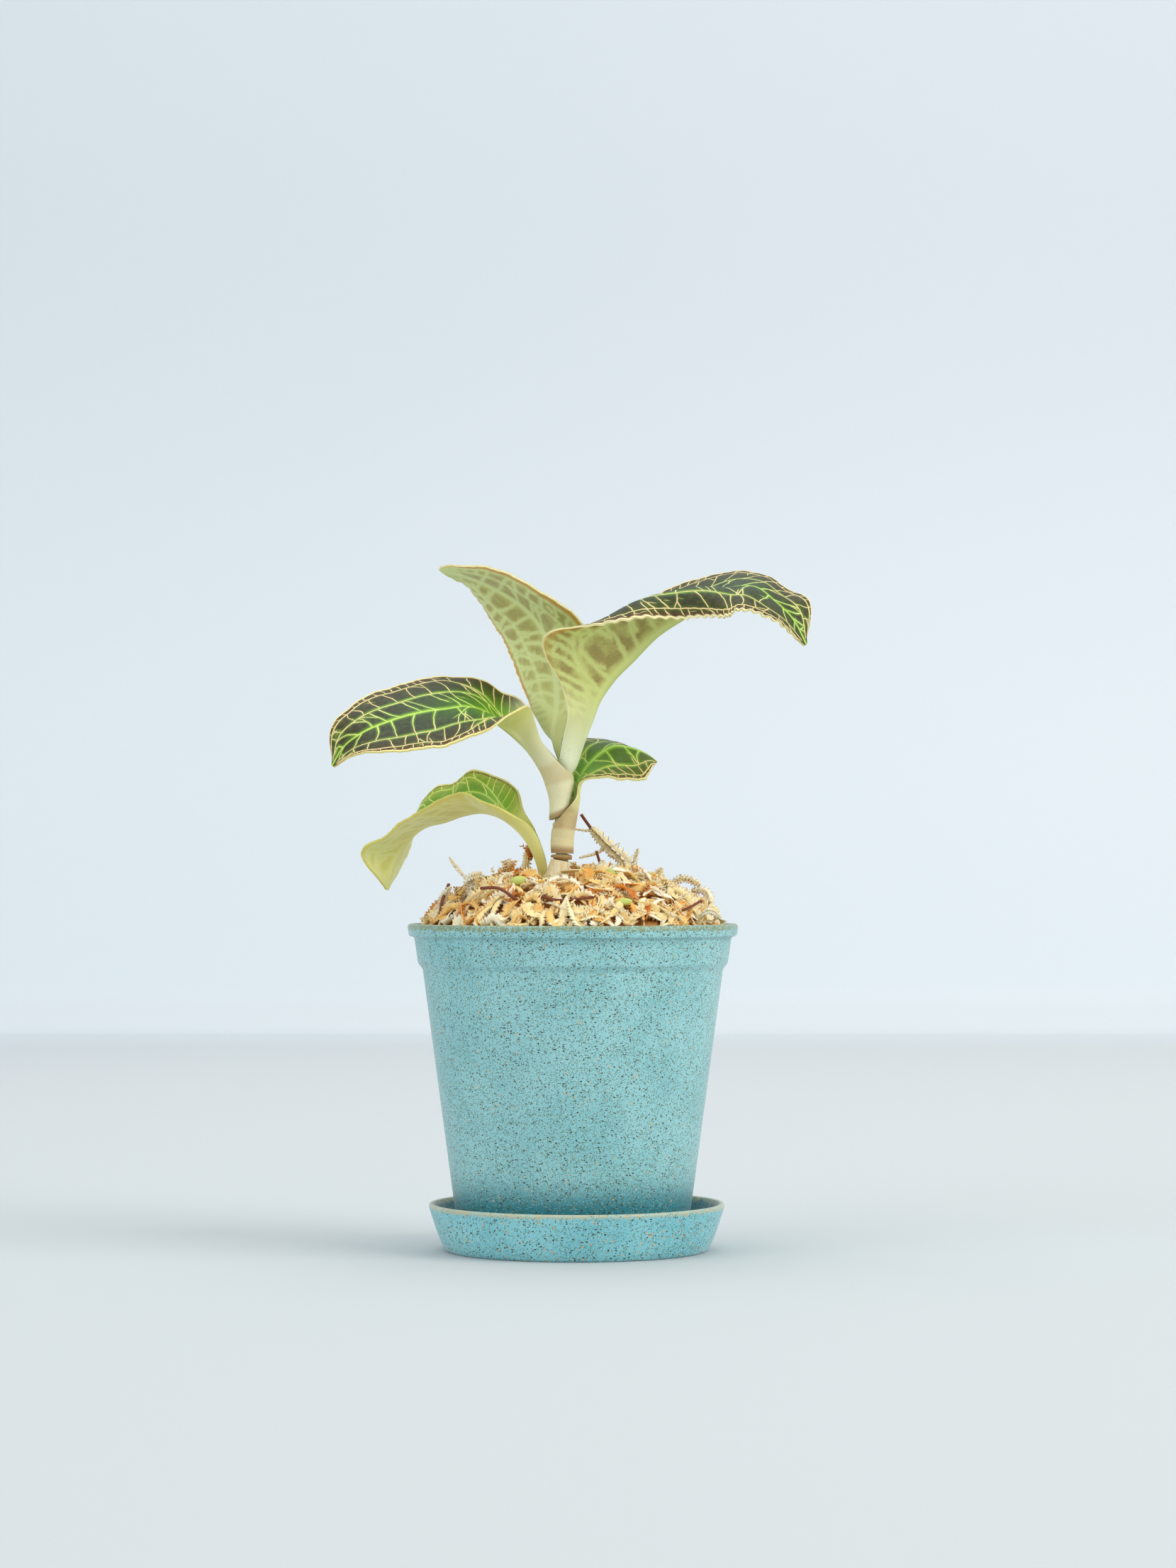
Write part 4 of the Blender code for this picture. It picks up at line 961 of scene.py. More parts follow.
# %% The underside
def leaf_under_finish(name, tones):
    material, tree, shader = new_finish(name + " underside", 0.5)
    across, along, foot = [stored(tree, n) for n in ("across", "along", "foot")]
    rib_gap, main_gap, cross_gap = [stored(tree, n) for n in ("rib_gap", "main_gap", "cross_gap")]
    grain = place_noise(tree, 3800.0, 3.0, 0.7)
    mottle = place_noise(tree, 330.0, 3.0)
    wander = soft_step(tree, place_noise(tree, 700.0, 2.0), 0.3, 0.7, -0.35, 0.35)
    loose_cross = add_node(tree, "Math", {0: cross_gap, 1: wander}, operation="ADD").outputs[0]
    cloudy = times(tree, soft_step(tree, rib_gap, 0.6, 2.6),
                   soft_step(tree, main_gap, 0.2, 1.7, 0.3, 1.0))
    cloudy = times(tree, cloudy, soft_step(tree, loose_cross, 0.1, 1.1, 0.12, 1.0))
    cloudy = times(tree, cloudy, soft_step(tree, mottle, 0.32, 0.55, 0.45, 1.0))
    start, full = CLOUDS_FROM.get(name, CLOUDS_USUALLY_FROM)
    cloudy = times(tree, cloudy, soft_step(tree, along, start, full, 0.1, CLOUDY[name]))
    cloudy = times(tree, cloudy, soft_step(tree, grain, 0.25, 0.7, 0.7, 1.0))
    colour = mix(tree, cloudy, tones["under"], tones["cloud"])
    lit = times(tree, soft_step(tree, main_gap, 0.1, 0.8, 0.5, 0.0),
                soft_step(tree, along, 0.0, 0.2))
    colour = mix(tree, lit, colour, tones["under_vein"])
    lit = times(tree, soft_step(tree, cross_gap, 0.1, 0.75, 0.6, 0.0),
                soft_step(tree, along, 0.0, 0.1))
    colour = mix(tree, lit, colour, tones["under_vein"])
    colour = mix(tree, soft_step(tree, rib_gap, 0.4, 1.4, 0.8, 0.0), colour, tones["under_vein"])
    band = times(tree, soft_step(tree, across, 0.86, 0.95), soft_step(tree, along, 0.02, 0.3))
    band = times(tree, band, soft_step(tree, mottle, 0.25, 0.6, 0.55, 1.0))
    colour = mix(tree, band, colour, tones["band"])
    colour = mix(tree, soft_step(tree, across, 0.965, 0.99), colour, tones["margin"])
    colour = mix(tree, soft_step(tree, along, -0.22, 0.12, 1.0, 0.0), colour, tones["stalk"])
    specks = times(tree, soft_step(tree, grain, 0.56, 0.68, 0.0, 0.4),
                   soft_step(tree, foot, 5.0, 16.0, 1.0, 0.0))
    colour = mix(tree, specks, colour, SHEATH_SPECK)
    colour = mix(tree, soft_step(tree, foot, 0.5, 2.0, 1.0, 0.0), colour, tones["foot"])
    if name in BELTS:
        tone, start, end, strength = BELTS[name]
        belt = times(tree, soft_step(tree, foot, start, start + 0.9),
                     soft_step(tree, foot, end, end + 1.4, strength, 0.0))
        belt = times(tree, belt, soft_step(tree, mottle, 0.3, 0.6, 0.6, 1.0))
        colour = mix(tree, belt, colour, tone)
    tree.links.new(colour, shader.inputs["Base Color"])
    shader.inputs["Subsurface Weight"].default_value = 0.2
    shader.inputs["Subsurface Radius"].default_value = (1.0, 1.0, 0.4)
    shader.inputs["Subsurface Scale"].default_value = 0.0012
    add_bump(tree, shader, grain, 0.2, 0.00008)
    return material


for leaf in leaves:
    tones = TONES[leaf.name]
    skin = build_skin(leaf, [leaf_upper_finish(leaf.name, tones),
                             leaf_under_finish(leaf.name, tones)])
    print(skin.name, len(skin.data.polygons), "faces")

# %% [markdown]
# The threads. On the real leaf the net stands up a little from the dark skin and shines like copper
# wire. A line painted on the skin would have the blur of its mesh, so each vein is a low closed
# ridge with its own finish, lime near the midrib and golden pink towards the margin.

# %% Raise the threads
THREAD_RISE = 0.06
THREAD_SINK = 0.14
THREAD_FOOT = 0.02                  # its two sides start this far under the skin
THREADS_TO = 0.965                  # how far out they reach


def thread_finish(name, tones):
    material, tree, shader = new_finish(name + " threads", 0.38)
    warm = stored(tree, "warm")
    colour = mix(tree, soft_step(tree, warm, 0.1, 0.75), tones["thread_in"], tones["thread"])
    uneven = soft_step(tree, place_noise(tree, 1400.0, 3.0), 0.35, 0.75, 0.0, 0.35)
    colour = mix(tree, uneven, colour, tones["glow"])
    tree.links.new(colour, shader.inputs["Base Color"])
    shader.inputs["Subsurface Weight"].default_value = 0.1
    shader.inputs["Subsurface Scale"].default_value = 0.0006
    return material


def build_threads(leaf, finish):
    collector = Collector()
    mains, crosses = nets[leaf.name]
    for vein in mains + crosses:
        s, v, width = vein
        keep = np.abs(v) < THREADS_TO
        if keep.sum() < 3:
            continue
        s, v, width = s[keep], v[keep], width[keep]
        up = leaf.upward(s, v)
        skin_half = SKIN_THICK / 2 * (1.0 - MARGIN_THIN * np.abs(v) ** 3)
        centre = leaf.points(s, v) + up * skin_half[:, None]
        along = np.gradient(centre, axis=0)
        side = np.cross(along, up)
        side /= np.maximum(np.linalg.norm(side, axis=1)[:, None], 1e-9)
        ends = np.minimum(np.arange(len(s)), np.arange(len(s))[::-1])
        taper = np.clip(0.45 + ends * 0.2, 0, 1)
        half = (width * taper / 2)[:, None]
        rise = (THREAD_RISE * taper)[:, None]
        ring = [centre + side * half - up * THREAD_FOOT, centre + side * half * 0.45 + up * rise,
                centre - side * half * 0.45 + up * rise, centre - side * half - up * THREAD_FOOT,
                centre - up * THREAD_SINK]
        sides = len(ring)
        points = np.stack(ring, axis=1).reshape(-1, 3)
        faces = [tuple(range(sides)), tuple(range(len(points) - sides, len(points)))[::-1]]
        for row in range(len(s) - 1):
            low = row * sides
            for k in range(sides):
                n = (k + 1) % sides
                faces.append((low + n, low + k, low + sides + k, low + sides + n))
        warm = np.clip(np.abs(v) * 1.1 + (s - 0.6) * 0.3, 0, 1)
        collector.add(list(points), faces, warm=list(np.repeat(warm, sides)))
    threads = collector.make(leaf.name + "_veins", [finish])
    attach(threads, "root")
    return threads


for leaf in leaves:
    threads = build_threads(leaf, thread_finish(leaf.name, TONES[leaf.name]))
    print(threads.name, len(threads.data.polygons), "faces")

# %% [markdown]
# The fringe. Against the pale wall every margin has a soft light edge: a row of fine clear teeth.
# A blurred edge is no shape, so the teeth are real, each a slim closed spike set in the margin.

# %% Set the fringe
FRINGE_STEP = 0.2
FRINGE_LENGTH = (0.25, 0.65)
FRINGE_HALF = 0.08                  # half the width of a tooth's root
FRINGE_ROOT = 0.12                  # how deep it sits in the margin
FRINGE_SEED = 90


def fringe_finish(name, tones):
    material, _, shader = new_finish(name + " fringe", 0.6)
    shader.inputs["Base Color"].default_value = tones["margin"]
    shader.inputs["Subsurface Weight"].default_value = 0.4
    shader.inputs["Subsurface Scale"].default_value = 0.0006
    return material


def build_fringe(leaf, finish, seed):
    rng = random.Random(seed)
    collector = Collector()
    for sign in (-1.0, 1.0):
        count = int(leaf.length * (1 - leaf.blade_from) * 1.15 / FRINGE_STEP)
        s = np.linspace(leaf.blade_from + 0.02, 0.995, count)
        edge = leaf.points(s, np.full(count, sign * 0.995))
        inside = leaf.points(s, np.full(count, sign * 0.93))
        up = leaf.upward(s, np.full(count, sign * 0.97))
        out = edge - inside
        out /= np.linalg.norm(out, axis=1)[:, None]
        along = np.cross(out, up)
        for k in range(count):
            reach = rng.uniform(*FRINGE_LENGTH)
            aim = out[k] + along[k] * rng.uniform(-0.5, 0.5) + up[k] * rng.uniform(-0.35, 0.35)
            root = edge[k] - out[k] * FRINGE_ROOT
            side, rise = along[k] * FRINGE_HALF, up[k] * FRINGE_HALF
            points = [root + side, root - side * 0.5 + rise, root - side * 0.5 - rise,
                      root + aim * reach]
            collector.add(points, [(2, 1, 0), (0, 1, 3), (1, 2, 3), (2, 0, 3)])
    fringe = collector.make(leaf.name + "_fringe", [finish])
    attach(fringe, "root")
    return fringe


for index, leaf in enumerate(leaves):
    fringe = build_fringe(leaf, fringe_finish(leaf.name, TONES[leaf.name]), FRINGE_SEED + index)
    print(fringe.name, len(fringe.data.polygons), "faces")

# %% [markdown]
# The stem. It is short and jointed like a bamboo cane, mostly hidden in pale sheaths, with a brown
# ring at each joint. A plain tube would do for the hidden part, but the rings show, so the tube's
# radius swells at each joint and the finish browns at the lower one.

# %% Build the stem
STEM = [
    # x, z, radius
    (-3.5, 96.6, 1.0), (-3.5, 92.0, 1.2), (-3.45, 90.7, 1.2), (-3.4, 90.2, 1.75),
    (-3.4, 89.4, 1.7), (-3.35, 88.6, 1.2), (-3.2, 83.75, 1.2), (-3.2, 83.55, 2.15),
    (-3.22, 83.2, 2.28), (-3.25, 82.8, 2.26), (-3.3, 82.5, 1.7), (-3.9, 80.0, 1.2),
    (-4.7, 77.0, 1.2), (-5.2, 73.0, 1.3), (-5.2, 66.0, 1.2),
]


def build_stem():
    material, tree, shader = new_finish("stem skin", 0.45)
    place = add_node(tree, "TexCoord").outputs["Object"]
    height = add_node(tree, "SeparateXYZ", {"Vector": place}).outputs["Z"]
    ring = times(tree, soft_step(tree, height, 0.0823, 0.0826),
                 soft_step(tree, height, 0.0834, 0.0837, 1.0, 0.0))
    colour = mix(tree, ring, srgb(206, 204, 160), srgb(156, 124, 70))
    tree.links.new(colour, shader.inputs["Base Color"])
    shader.inputs["Subsurface Weight"].default_value = 0.2
    shader.inputs["Subsurface Scale"].default_value = 0.001
    path = np.array([(x, 0.0, z) for x, z, _ in STEM])
    collector = Collector()
    add_tube(collector, path, [r for _, _, r in STEM], sides=40)
    stem = collector.make("stem_cane", [material])
    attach(stem, "root")
    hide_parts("stem")
    return stem


stem = build_stem()
print(stem.name, len(stem.data.polygons), "faces")

# %% [markdown]
# The dry sheath. An old leaf leaves a papery skirt round the stem's foot, torn at its lower edge
# and to one side. It is a thin turned shell whose lower edge is cut ragged and curls outward.

# %% Build the dry sheath
SHEATH_PROFILE = [
    # height above its foot, radius
    (4.15, 2.0), (3.4, 2.12), (2.4, 2.25), (1.4, 2.38), (0.5, 2.62), (-0.1, 2.95),
]
SHEATH_FOOT = (-4.3, 0.0, 78.3)
SHEATH_LEAN = math.radians(12.0)
SHEATH_WALL = 0.28
SHEATH_SIDES, SHEATH_ROWS = 72, 26


def dry_sheath_finish():
    material, tree, shader = new_finish("dry sheath paper", 0.6)
    streak = add_node(tree, "Mapping", {"Vector": add_node(tree, "TexCoord").outputs["Object"]})
    streak.inputs["Scale"].default_value = (1.0, 1.0, 0.15)
    lines = add_node(tree, "TexNoise",
                     {"Vector": streak.outputs[0], "Scale": 2200.0, "Detail": 3.0}).outputs["Fac"]
    colour = mix(tree, soft_step(tree, lines, 0.35, 0.7), srgb(238, 226, 190), srgb(222, 198, 148))
    tree.links.new(colour, shader.inputs["Base Color"])
    shader.inputs["Subsurface Weight"].default_value = 0.2
    shader.inputs["Subsurface Scale"].default_value = 0.001
    add_bump(tree, shader, lines, 0.4, 0.0001)
    return material


def build_dry_sheath():
    sides, rows = SHEATH_SIDES, SHEATH_ROWS
    table = np.array(SHEATH_PROFILE)
    heights = np.linspace(table[0, 0], table[-1, 0], rows)
    radii = np.interp(-heights, -table[:, 0], table[:, 1])
    outer, inner = [], []
    for row in range(rows):
        low = row / (rows - 1)
        for k in range(sides):
            a = 2 * math.pi * k / sides
            tear = 0.45 * math.sin(5 * a) + 0.3 * math.sin(9 * a + 1) + 0.25 * math.sin(23 * a)
            fold = 0.05 * math.sin(14 * a + 3 * low) + 0.04 * math.sin(31 * a)
            z = heights[row] + tear * low ** 6
            r = radii[row] + fold + 0.15 * tear * low ** 4
            for ring, radius in ((outer, r), (inner, r - SHEATH_WALL)):
                x, y = radius * math.cos(a), radius * math.sin(a)
                turned_x = x * math.cos(SHEATH_LEAN) + z * math.sin(SHEATH_LEAN)
                turned_z = z * math.cos(SHEATH_LEAN) - x * math.sin(SHEATH_LEAN)
                ring.append((SHEATH_FOOT[0] + turned_x, SHEATH_FOOT[1] + y,
                             SHEATH_FOOT[2] + turned_z))
    faces = []
    shift = rows * sides
    for row in range(rows - 1):
        for k in range(sides):
            n = (k + 1) % sides
            a, b = row * sides + k, row * sides + n
            c, d = b + sides, a + sides
            faces.append((a, d, c, b))
            faces.append((a + shift, b + shift, c + shift, d + shift))
    last = (rows - 1) * sides
    for k in range(sides):
        n = (k + 1) % sides
        faces.append((k, n, n + shift, k + shift))
        faces.append((last + n, last + k, last + k + shift, last + n + shift))
    collector = Collector()
    collector.add(outer + inner, faces)
    sheath = collector.make("dry_sheath_paper", [dry_sheath_finish()])
    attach(sheath, "root")
    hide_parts("dry_sheath")
    return sheath


sheath = build_dry_sheath()
print(sheath.name, len(sheath.data.polygons), "faces")

# %% [markdown]
# The moss. Dried sphagnum comes as crushed sprigs: a thin axis with small boat-shaped leaves that
# overlap like shingles, in every tone from cream to orange. Hair would look like grass, and a bumpy
# lump like bread. So each sprig is built leaf by leaf. The sprigs follow the strands of the packed
# solid, by the same seeded rule, and smaller ones fill the space between.

# %% The mound
MOSS_EDGE, MOSS_CROWN = 68.6, 79.0      # heights where it meets the rim and at its top
MOUND_RADIUS, LIP_RADIUS = 31.0, 32.2
MOUND_SINK = 0.9                        # the mound lies this far under the loose scraps
MOUND_RINGS, MOUND_SPOKES = 60, 180
FILLING = [
    # height, radius of the filling below the rim
    (66.0, 32.0), (59.0, 29.5), (6.0, 22.0),
]
STRANDS, STRAND_SEED = 74, 11
STEM_HOLE_X = -4.9


def mound_height(x, y):
    """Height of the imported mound, x and y from the pot's axis."""
    r = math.hypot(x, y) / MOUND_RADIUS
    swell = 1.3 * noise.noise(Vector((x * 0.12, y * 0.12, 3.0))) * (1.0 - r ** 4)
    return MOSS_EDGE + (MOSS_CROWN - MOSS_EDGE) * (1.0 - r ** 3) + swell


def stem_dip(x, y):
    """How far the loose moss is pushed down in front of the stem, x and y from the pot's axis."""
    return 1.5 * math.exp(-((x + 3.8) ** 2 + (y + 4.5) ** 2) / 36.0)


def moss_finish(name, tones, dark):
    """tones are three colours that the stored value tone runs through; dark is the painted shade.
    """
    material, tree, shader = new_finish(name, 0.7)
    tone, deep = stored(tree, "tone"), stored(tree, "deep")
    colour = mix(tree, soft_step(tree, tone, 0.0, 0.5), tones[0], tones[1])
    colour = mix(tree, soft_step(tree, tone, 0.5, 1.0), colour, tones[2])
    spots = soft_step(tree, place_noise(tree, 1700.0, 3.0), 0.5, 0.75, 0.0, 0.4)
    colour = mix(tree, spots, colour, tones[2])
    # Painted shade: the stored share draws the colour towards dark, at the scales' roots and over
    # the mound.
    colour = mix(tree, deep, colour, dark)
    tree.links.new(colour, shader.inputs["Base Color"])
    shader.inputs["Subsurface Weight"].default_value = 0.3
    shader.inputs["Subsurface Radius"].default_value = (1.0, 0.65, 0.35)
    shader.inputs["Subsurface Scale"].default_value = 0.0015
    add_bump(tree, shader, place_noise(tree, 4200.0, 2.0), 0.3, 0.0001)
    return material


def build_mound(finish):
    rings, spokes = MOUND_RINGS, MOUND_SPOKES
    turns = [2 * math.pi * k / spokes for k in range(spokes)]
    points, faces = [], []
    for j in range(rings):
        r = LIP_RADIUS * (1.0 - j / rings) ** 0.9
        for a in turns:
            x, y = r * math.cos(a), r * math.sin(a)
            rough = (1.1 * noise.noise(Vector((x * 0.5, y * 0.5, 8.0)))
                     + 0.5 * noise.noise(Vector((x, y, 2.0))))
            top = mound_height(x, y) - stem_dip(x, y) - MOUND_SINK
            points.append((POT_X + x, y, top + rough * min(1.0, (LIP_RADIUS - r) / 2)))
    points.append((POT_X, 0.0, mound_height(0, 0) - MOUND_SINK))
    base = len(points)
    for z, r in FILLING:
        points.extend((POT_X + r * math.cos(a), r * math.sin(a), z) for a in turns)
    points.append((POT_X, 0.0, FILLING[-1][0]))
    for k in range(spokes):
        n = (k + 1) % spokes
        for j in range(rings - 1):
            low = j * spokes
            faces.append((low + k, low + n, low + spokes + n, low + spokes + k))
        faces.append(((rings - 1) * spokes + k, (rings - 1) * spokes + n, base - 1))
        faces.append((n, k, base + k, base + n))
        for j in range(len(FILLING) - 1):
            low = base + j * spokes
            faces.append((low + n, low + k, low + spokes + k, low + spokes + n))
        last = base + (len(FILLING) - 1) * spokes
        faces.append((last + n, last + k, len(points) - 1))
    collector = Collector()
    # Painted shade: the mound, seen between the loose scraps, is painted well towards the dark
    # tone.
    collector.add(points, faces, tone=[0.8] * len(points), deep=[0.55] * len(points))
    mound = collector.make("moss_mound", [finish])
    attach(mound, "root")
    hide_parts("moss")
    return mound


print("the mound is", round(mound_height(0, 0) - POT_TOP, 1), "mm above the rim")

# %% [markdown]
# The long strands. Some strands stand clear of the mound and change the plant's outline, so they
# don't follow a rule: each one is listed, as a path through points read from the photo.

# %% Long strands
LONG_STRANDS = [
    # path, width of the sprig; the first seven are the long one behind the stem and its side shoots
    ([(15.3, 11.0, 75.0), (13.0, 12.0, 79.4), (10.0, 12.5, 82.6), (6.6, 12.5, 85.6),
      (3.1, 12.5, 89.2)], 3.0),
    ([(6.6, 12.5, 85.6), (4.4, 12.0, 83.9), (0.6, 11.5, 82.9)], 1.0),
    ([(3.6, 12.5, 88.6), (1.6, 12.0, 88.9), (-0.6, 12.0, 89.1)], 0.7),
    ([(11.4, 12.0, 80.6), (12.6, 11.5, 82.8), (13.2, 11.5, 84.8)], 1.3),
    ([(15.5, 12.0, 75.5), (17.0, 10.0, 78.6), (18.1, 9.0, 80.6)], 2.2),
    ([(18.5, 8.0, 75.8), (22.5, 6.5, 78.4), (26.2, 6.0, 77.2)], 2.6),
    ([(24.5, 6.0, 76.0), (27.6, 5.5, 75.6), (28.6, 5.0, 72.0)], 2.2),
    ([(4.0, -2.0, 76.0), (5.0, -2.5, 80.0), (5.6, -3.0, 82.3)], 1.8),
    ([(7.0, 3.0, 76.0), (8.0, 3.0, 79.0), (8.8, 3.0, 81.3)], 2.0),
    ([(-11.5, 5.0, 76.0), (-10.8, 6.0, 82.0), (-10.0, 6.5, 85.6)], 1.9),
    ([(-15.5, -3.0, 76.0), (-14.8, -4.0, 80.0), (-14.2, -4.0, 82.6)], 1.8),
    ([(-23.0, -3.0, 78.0), (-25.0, -3.5, 80.5), (-26.8, -4.0, 83.0)], 0.9),
    ([(-28.5, -6.0, 71.0), (-28.0, -9.0, 74.0), (-26.5, -11.0, 76.6)], 1.9),
    ([(-22.0, -9.0, 73.0), (-22.5, -11.0, 78.0), (-20.0, -12.0, 79.8)], 2.0),
    ([(24.5, -16.0, 70.0), (27.5, -16.5, 72.0), (30.0, -15.0, 70.5)], 1.5),
]


print(len(LONG_STRANDS), "long strands")

# %% [markdown]
# Sprigs and scraps. A whole sprig is an axis with scales. Most of the dried moss is crushed, so
# there are curled scraps with torn edges as well. A flat strip would vanish seen from its side, so
# every scale and every scrap is closed and has some thickness.

# %% Sprig and scrap
SCALE_LENGTH = 0.8                  # of a sprig's width


def add_sprig(collector, rng, path, width, tone, slim=0.3):
    """An axis with small leaves that overlap like shingles. Each leaf is a closed folded scale."""
    run = np.linalg.norm(np.diff(path, axis=0), axis=1).sum()
    core = width * 0.24
    taper = np.linspace(1.0, 0.4, len(path))
    # The axis takes a little painted shade.
    add_tube(collector, path, core * taper, sides=5, flat=0.8, tone=min(tone + 0.2, 1.0),
             deep=0.05)
    rows = max(int(run / 0.5), 3)
    even = smooth_path(path, rows) if len(path) > 2 else np.linspace(path[0], path[-1], rows)
    along, across, up = path_frames(even)
    for row in range(rows):
        share = row / max(rows - 1, 1)
        for k in range(5):
            a = 2 * math.pi * (k + 0.5 * (row % 2)) / 5 + rng.uniform(-0.35, 0.35)
            out = across[row] * math.cos(a) + up[row] * math.sin(a) * 0.8
            side = np.cross(out, along[row])
            reach = SCALE_LENGTH * width * rng.uniform(0.6, 1.3) * (1.0 - slim * share)
            root = even[row] + out * core * 0.6
            aim = along[row] * rng.uniform(0.3, 0.95) + out * rng.uniform(0.35, 1.0)
            half = 0.26 * width * rng.uniform(0.7, 1.3) * (1.0 - slim * share)
            tip = root + aim * reach + side * rng.uniform(-0.3, 0.3) * width
            bulge = root + aim * reach * 0.5 + out * 0.16 * width
            points = [root + side * half, root - side * half, bulge + side * half * 0.6,
                      bulge - side * half * 0.6, tip, root + aim * reach * 0.4 - out * 0.1 * width]
            shade = tone + rng.uniform(-0.25, 0.25)
            values = [shade + 0.2, shade + 0.2, shade, shade, shade - 0.2, shade]
            faces = [(0, 1, 3, 2), (2, 3, 4), (1, 5, 4, 3), (0, 2, 4, 5), (1, 0, 5)]
            # Painted shade at the root of each scale.
            collector.add(points, faces, tone=[min(max(q, 0.0), 1.0) for q in values],
                          deep=[0.08, 0.08, 0.0, 0.0, 0.0, 0.0])


def add_flake(collector, rng, path, width, tone, torn, thick=0.11):
    """A curled scrap of crushed moss: a closed strip with raised, toothed edges."""
    run = np.linalg.norm(np.diff(path, axis=0), axis=1).sum()
    rows = min(max(int(run / 0.33), 10), 28)
    even = smooth_path(path, rows)
    _, across, up = path_frames(even)
    roll = rng.uniform(-0.7, 0.7)
    twist = rng.uniform(-1.5, 1.5)
    curl = rng.uniform(0.25, 0.9) * rng.choice((1, 1, -1))
    points, tones = [], []
    for row in range(rows):
        share = row / (rows - 1)
        spread = width * 0.5 * (0.3 + 0.9 * math.sin(math.pi * (0.1 + 0.8 * share)))
        angle = roll + twist * share
        side = across[row] * math.cos(angle) + up[row] * math.sin(angle)
        rise = up[row] * math.cos(angle) - across[row] * math.sin(angle)
        left, right = [spread * (1.0 - torn * (tooth % 2) * rng.uniform(0.4, 1.2)
                                 + rng.uniform(-0.1, 0.2)) for tooth in (row, row + 1)]
        half = 0.5 * spread
        bowl = curl * half * 0.35
        ring = [(-left, curl * left * 0.8), (-half, bowl + thick), (0.0, thick * 1.3),
                (half, bowl + thick), (right, curl * right * 0.8), (half, bowl - thick),
                (0.0, -thick), (-half, bowl - thick)]
        for offset, height in ring:
            points.append(even[row] + side * offset + rise * height)
            edge = abs(offset) / max(spread, 0.01)
            here = tone - 0.25 * edge + 0.25 * (share - 0.5) + rng.uniform(-0.12, 0.12)
            tones.append(min(max(here, 0.0), 1.0))
    faces = [tuple(range(8)), tuple(range(len(points) - 8, len(points)))[::-1]]
    for row in range(rows - 1):
        low = row * 8
        for k in range(8):
            n = (k + 1) % 8
            faces.append((low + n, low + k, low + 8 + k, low + 8 + n))
    collector.add(points, faces, tone=tones, deep=0.0)


print("sprig and scrap ready")

# %% [markdown]
# Where the loose strands lie. Placing hundreds by hand would take days, so a seeded rule spreads
# them over the mound. It keeps them inside the lip and out of the way of the stem.

# %% Places for strands
LIMIT_PACKED, LIMIT_LOOSE = 30.6, 31.4      # strands end this near to the pot's axis
LOOSE_RADIUS = 31.2
LOWER_LEAF_FOOT = (-7.4, 4.6)


def hold_in(x, y, limit):
    """The point, drawn back to the limit where it lies farther from the pot's axis."""
    reach = math.hypot(x, y)
    return (x * limit / reach, y * limit / reach) if reach > limit else (x, y)


def packed_strands():
    """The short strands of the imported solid, by the rule that made them."""
    rng = random.Random(STRAND_SEED)
    found = []
    for k in range(STRANDS):
        r = 29.0 * math.sqrt((k + 0.5) / STRANDS)
        angle = k * math.radians(137.5) + rng.uniform(-0.3, 0.3)
        x, y = r * math.cos(angle), r * math.sin(angle)
        if math.hypot(x - (STEM_HOLE_X - POT_X), y) < 7.0:
            continue
        heading = rng.uniform(0, 2 * math.pi)
        bend = rng.uniform(-0.9, 0.9)
        length = rng.uniform(6.0, 11.0)
        lift = rng.uniform(0.9, 2.2)
        tip_lift = rng.choice((-1.2, -0.6, 0.9, 1.8))
        width = rng.uniform(0.8, 1.35)
        points = []
        for j in range(5):
            u = j / 4
            turn = heading + bend * (u - 0.5)
            px, py = hold_in(x + length * (u - 0.5) * math.cos(turn),
                             y + length * (u - 0.5) * math.sin(turn), LIMIT_PACKED)
            hump = -1.2 * (1 - u) + tip_lift * u + lift * math.sin(math.pi * u)
            points.append((POT_X + px, py, mound_height(px, py) + hump))
        found.append((points, width))
    return found


def small_strand(rng, shortest, longest, lift, inner=0.0):
    """A short scrap that lies anywhere on the mound, its ends tucked in or sticking out."""
    r = LOOSE_RADIUS * math.sqrt(rng.uniform((inner / LOOSE_RADIUS) ** 2, 1.0))
    angle = rng.uniform(0, 2 * math.pi)
    x, y = r * math.cos(angle), r * math.sin(angle)
    heading = rng.uniform(0, 2 * math.pi)
    length = rng.uniform(shortest, longest)
    curl = rng.uniform(-1.8, 1.8)
    tip = rng.uniform(-0.8, lift)
    points = []
    for j in range(4):
        u = j / 3
        turn = heading + curl * u
        px, py = hold_in(x + length * (u - 0.5) * math.cos(turn),
                         y + length * (u - 0.5) * math.sin(turn), LIMIT_LOOSE)
        hump = 1.3 * math.sin(math.pi * u) * rng.uniform(0.3, 1.1) + tip * u * u + 0.2
        points.append((POT_X + px, py, mound_height(px, py) - stem_dip(px, py) + hump))
    return points


def clear_of_stem(points, reach):
    """Whether a strand keeps out of the stem's and the lower leaf's way."""
    for x, y, z in points:
        if math.hypot(x - STEM_HOLE_X, y) < reach:
            return False
        if math.hypot(x - LOWER_LEAF_FOOT[0], y - LOWER_LEAF_FOOT[1]) < reach * 0.8:
            return False
        if y < 2.0 and abs(x + 4.6) < 5.0 and z > 78.9:
            return False
    return True


print(len(packed_strands()), "strands of the packed solid")

# %% [markdown]
# All the loose moss. Scraps and sprigs go into three pieces by tone, and the brown stalks and the
# green bits into two more. One piece for each scrap would be slow to handle.

